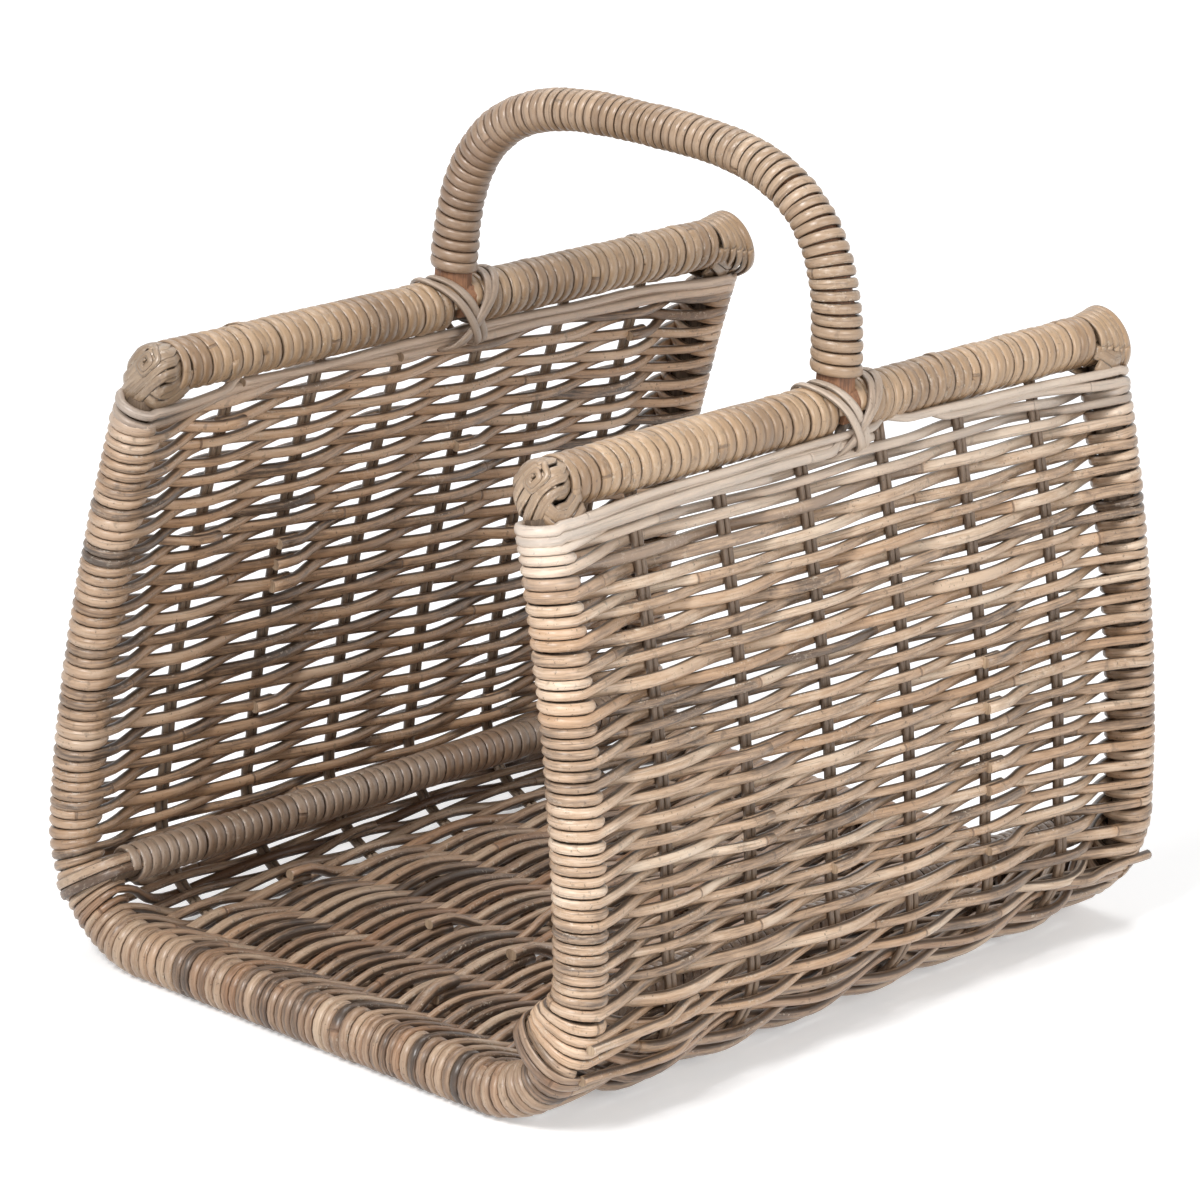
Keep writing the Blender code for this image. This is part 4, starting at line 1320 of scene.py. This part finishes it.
@dataclass
class Handle:
    """The arched handle's cane binding and the crossed lashings over its feet.

    Each lash strip has its place on top, its place below, how soon it crosses over and how
    far it stands proud of the others there.
    """

    sizes: TrugSizes
    crown_radius: float = 0.0095
    left_foot_radius: float = 0.0116
    right_foot_radius: float = 0.0125
    strip: Outline = Outline(0.0030, 0.0017, 2.2, 10)
    crown_pitch: float = 0.0059
    foot_pitch: float = 0.0073
    start: float = 0.0215
    lashing: Outline = Outline(0.0029, 0.0014, 2.2, 10)
    loop_reach: float = 0.0171
    loop_drop: float = 0.0262
    lash_strips: tuple[tuple[float, float, float, float], ...] = (
        (-0.0150, 0.0180, 0.82, 0.0),
        (0.0215, -0.0080, 0.95, 0.0014),
        (0.0290, -0.0145, 1.0, 0.0018),
        (-0.0260, 0.0130, 0.9, 0.0034),
    )

    def line(self) -> tuple[Array, Array]:
        """The arch's middle line and the distance along it."""
        angle = np.linspace(0, math.pi, 2001)
        share = 2 / self.sizes.handle_power
        x = -self.sizes.top_half_width * bend(np.cos(angle), share)
        z = self.sizes.rail_z + self.sizes.handle_rise * np.clip(np.sin(angle), 0, 1) ** share
        points = np.stack([x, np.zeros_like(x), z], axis=1)
        marks = run_length(points)
        even = np.linspace(0, marks[-1], 260)
        return read_off(even, marks, points), even

    def build(self, finishes: Finishes) -> None:
        """Winds the handle and lashes its feet."""
        points, marks = self.line()
        way = np.gradient(points, axis=0)
        way /= np.linalg.norm(way, axis=1, keepdims=True)
        normal = np.stack([-way[:, 2], np.zeros(len(way)), way[:, 0]], axis=1)
        length = float(marks[-1])

        def from_crown(u: Array) -> Array:
            """How near a foot each place is, from 0 at the crown to 1."""
            return np.abs(2 * (u + self.start) / length - 1) ** 2

        def radius(u: Array) -> Array:
            """The pole's radius at each place."""
            foot = np.where(u + self.start < length / 2, self.left_foot_radius, self.right_foot_radius)
            return self.crown_radius + (foot - self.crown_radius) * from_crown(u)

        winding = Winding(
            lambda u: read_off(u + self.start, marks, points),
            lambda u: read_off(u + self.start, marks, normal),
            lambda u: steady((0, 1, 0), len(u)),
            radius,
            lambda u: self.crown_pitch + (self.foot_pitch - self.crown_pitch) * from_crown(u),
            length - 2 * self.start,
            self.strip,
            seed=90,
            loose=0.00025,
            phase=math.pi / 2,
        )
        mesh = StrandMesh()
        winding.add_to(mesh)
        ride(mesh.finish("handle_cane", finishes.handle, finishes.cut), "binding_cane", "handle_binding")
        for side in Side:
            self.lash(side, finishes)

    def lash(self, side: Side, finishes: Finishes) -> None:
        """Crosses four strips over one foot and round the top rows under its rail."""
        centre = np.array([side.value * self.sizes.top_half_width, 0, self.sizes.rail_z])
        angle = np.linspace(0, 2 * math.pi, 721)
        sine, cosine = np.sin(angle), np.cos(angle)
        power = np.where(cosine > 0, 2 / 3.2, 1.0)
        tall = np.where(cosine > 0, self.loop_drop, self.loop_reach)
        loop = np.stack([bend(sine, power) * self.loop_reach, -bend(cosine, power) * tall], axis=1)
        marks = run_length(loop)
        even = np.linspace(0, marks[-1], 97)
        x, z = read_off(even, marks, loop).T
        share = np.abs(2 * even / marks[-1] - 1)
        middle = np.exp(-(((share - 0.5) / 0.24) ** 2))
        mesh = StrandMesh()
        for top, bottom, bias, over in self.lash_strips:
            proud = 1 + over / self.loop_reach * middle
            y = top + (bottom - top) * smooth(share**bias)
            points = centre + np.stack([x * proud, y, z * proud], axis=1)
            mesh.add(points, steady((0, 1, 0), len(even)), self.lashing)
        node = f"{side.word}_handle_lashing"
        ride(mesh.finish(f"{node}_cane", finishes.lashing, finishes.cut), "lashing_cane", node)


@dataclass
class Studio:
    """The camera, the pale floor and the soft lights."""

    place: Spot = (2.03661, -2.43471, 1.21414)
    yaw: float = 39.713
    pitch: float = -17.541
    roll: float = 3.310
    lens: float = 168.35
    shift: tuple[float, float] = (-0.03487, 0.00526)
    sensor: float = 36.0
    aim: Spot = (0, 0, 0.2)
    lamps: tuple[tuple[str, Spot, float, float], ...] = (
        ("key", (0.5, -2.5, 2.4), 0.9, 86),
        ("fill", (2.9, -0.6, 1.5), 1.4, 42),
        ("top", (-0.6, 0.5, 2.8), 1.2, 23),
    )

    def camera(self) -> None:
        """Sets the camera at the photograph's viewpoint."""
        data = bpy.data.cameras.new("camera")
        data.lens = self.lens
        data.sensor_width = self.sensor
        data.shift_x, data.shift_y = self.shift
        data.clip_end = 50
        camera = add_object("camera", data)
        yaw, pitch, roll = (math.radians(a) for a in (self.yaw, self.pitch, self.roll))
        forward = Vector((-math.sin(yaw) * math.cos(pitch), math.cos(yaw) * math.cos(pitch), math.sin(pitch)))
        right = forward.cross(Vector((0, 0, 1))).normalized()
        up = right.cross(forward)
        turned_right = right * math.cos(roll) + up * math.sin(roll)
        turned_up = up * math.cos(roll) - right * math.sin(roll)
        turn = Matrix((turned_right, turned_up, -forward)).transposed().to_4x4()
        camera.matrix_world = Matrix.Translation(self.place) @ turn
        bpy.context.scene.camera = camera

    def lamp(self, name: str, place: Spot, size: float, power: float) -> None:
        """Adds one soft square lamp that looks at the basket."""
        data = bpy.data.lights.new(name, "AREA")
        data.size = size
        data.energy = power
        lamp = add_object(name, data)
        lamp.location = place
        lamp.rotation_euler = (Vector(place) - Vector(self.aim)).to_track_quat("Z", "Y").to_euler()

    def floor(self) -> None:
        """Lays the pale floor, white to the camera and still shadowed."""
        material, graph, shader = new_material("studio_floor")
        place = graph.add("ShaderNodeTexCoord").outputs["Object"]
        far = graph.add("ShaderNodeVectorMath", {0: place}, operation="LENGTH").outputs["Value"]
        glow = graph.calc("MULTIPLY_ADD", graph.span(far, 0.5, 3.0), 0.5, 0.34)
        graph.feed(shader, {
            "Base Color": (0.86, 0.86, 0.86, 1),
            "Roughness": 0.9,
            "Specular IOR Level": 0.1,
            "Emission Strength": graph.calc("MULTIPLY", graph.seen(), glow),
            "Emission Color": (1, 1, 1, 1),
        })
        shape = bmesh.new()
        bmesh.ops.create_grid(shape, x_segments=1, y_segments=1, size=12)
        mesh = bpy.data.meshes.new("studio_floor")
        shape.to_mesh(mesh)
        shape.free()
        mesh.materials.append(material)
        add_object("studio_floor", mesh)

    def sky(self) -> None:
        """Fills the room with even light, white to the camera."""
        world = bpy.data.worlds.new("studio")
        bpy.context.scene.world = world
        world.use_nodes = True
        graph = Graph(world.node_tree)
        level = graph.calc("MULTIPLY_ADD", graph.seen(), 0.67, 0.33)
        graph.feed(world.node_tree.nodes["Background"], {"Strength": level, "Color": (1, 1, 1, 1)})

    def build(self) -> None:
        """Sets up the whole studio."""
        bpy.context.scene.view_settings.view_transform = "Standard"
        self.camera()
        self.floor()
        self.sky()
        for lamp in self.lamps:
            self.lamp(*lamp)


@dataclass
class Trug:
    """The whole basket."""

    part: dict
    sizes: TrugSizes = field(default_factory=TrugSizes)
    first_row: float = 0.0325
    wall_rows: int = 46
    squeeze: float = 0.0045

    def build(self) -> None:
        """Builds the sub-assemblies in order."""
        finishes = Finishes()
        section = Section(self.sizes)
        corner_share = self.sizes.bar_angle / (math.pi / 2)
        join = section.corner_mark + (section.corner_end - section.corner_mark) * corner_share
        pitch = (join - self.first_row) / self.wall_rows
        floor_rows = 2 * round((section.length - 2 * join) / pitch / 2)
        floor_pitch = (section.length - 2 * join) / floor_rows
        log.info("wall pitch %.2f mm, floor %d rows of %.2f mm", pitch * 1000, floor_rows, floor_pitch * 1000)
        rows = (self.first_row, pitch, self.wall_rows)
        left = WovenPanel(
            self.sizes, section, "left_wall_strands", "left_wall_weaver", *rows,
            seed=3, cuts=13, squeeze=self.squeeze,
        )
        left.build(
            finishes, finishes.inner, ((End.FRONT, -1, (-0.085, -0.10)), (End.REAR, -1, (0.435, 0.450, 0.30)))
        )
        right = WovenPanel(
            self.sizes, section, "right_wall_strands", "right_wall_weaver", *rows,
            mirrored=True, seed=5, cut_posts=(2, 4), squeeze=self.squeeze, bulge=1.25,
        )
        right.build(
            finishes,
            finishes.wall,
            ((End.FRONT, 1, (-0.300, 0.275, -0.262, 0.180)), (End.REAR, 1, (-0.225, -0.19))),
            ((End.FRONT, -1, 0.002, 0.11), (End.FRONT, -4, 0.006, 0.10), (End.REAR, -2, 0.0135, 0.10)),
        )
        floor = WovenPanel(
            self.sizes, section, "floor_strands", "floor_weaver",
            join + floor_pitch / 2, floor_pitch, floor_rows,
            seed=8, cuts=14, lift=0.0065, bulge_start=0.9,
        )
        floor.build(finishes, finishes.floor)
        Stakes(self.sizes, section).build(finishes)
        for side in Side:
            Rail(self.sizes, side).build(finishes)
            BaseBar(self.sizes, side).build(finishes)
        Handle(self.sizes).build(finishes)
        self.dress_poles(finishes)

    def dress_poles(self, finishes: Finishes) -> None:
        """Gives the part's own poles their bare finish: the handle's pole the bare core, the others a dark
        finish that is partly their weathered colour and partly painted shade where they show through gaps.
        """
        for name, obj in self.part["nodes"].items():
            if name.endswith("_pole"):
                finish = finishes.core if name.startswith("handle") else finishes.old_pole_in_shade
                for slot in obj.material_slots:
                    slot.material = finish


def main() -> None:
    """Loads the part, dresses it and lights it."""
    logging.basicConfig(level=logging.INFO, format="%(name)s: %(message)s")
    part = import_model()
    Trug(part).build()
    Studio().build()


if __name__ == "__main__":
    main()
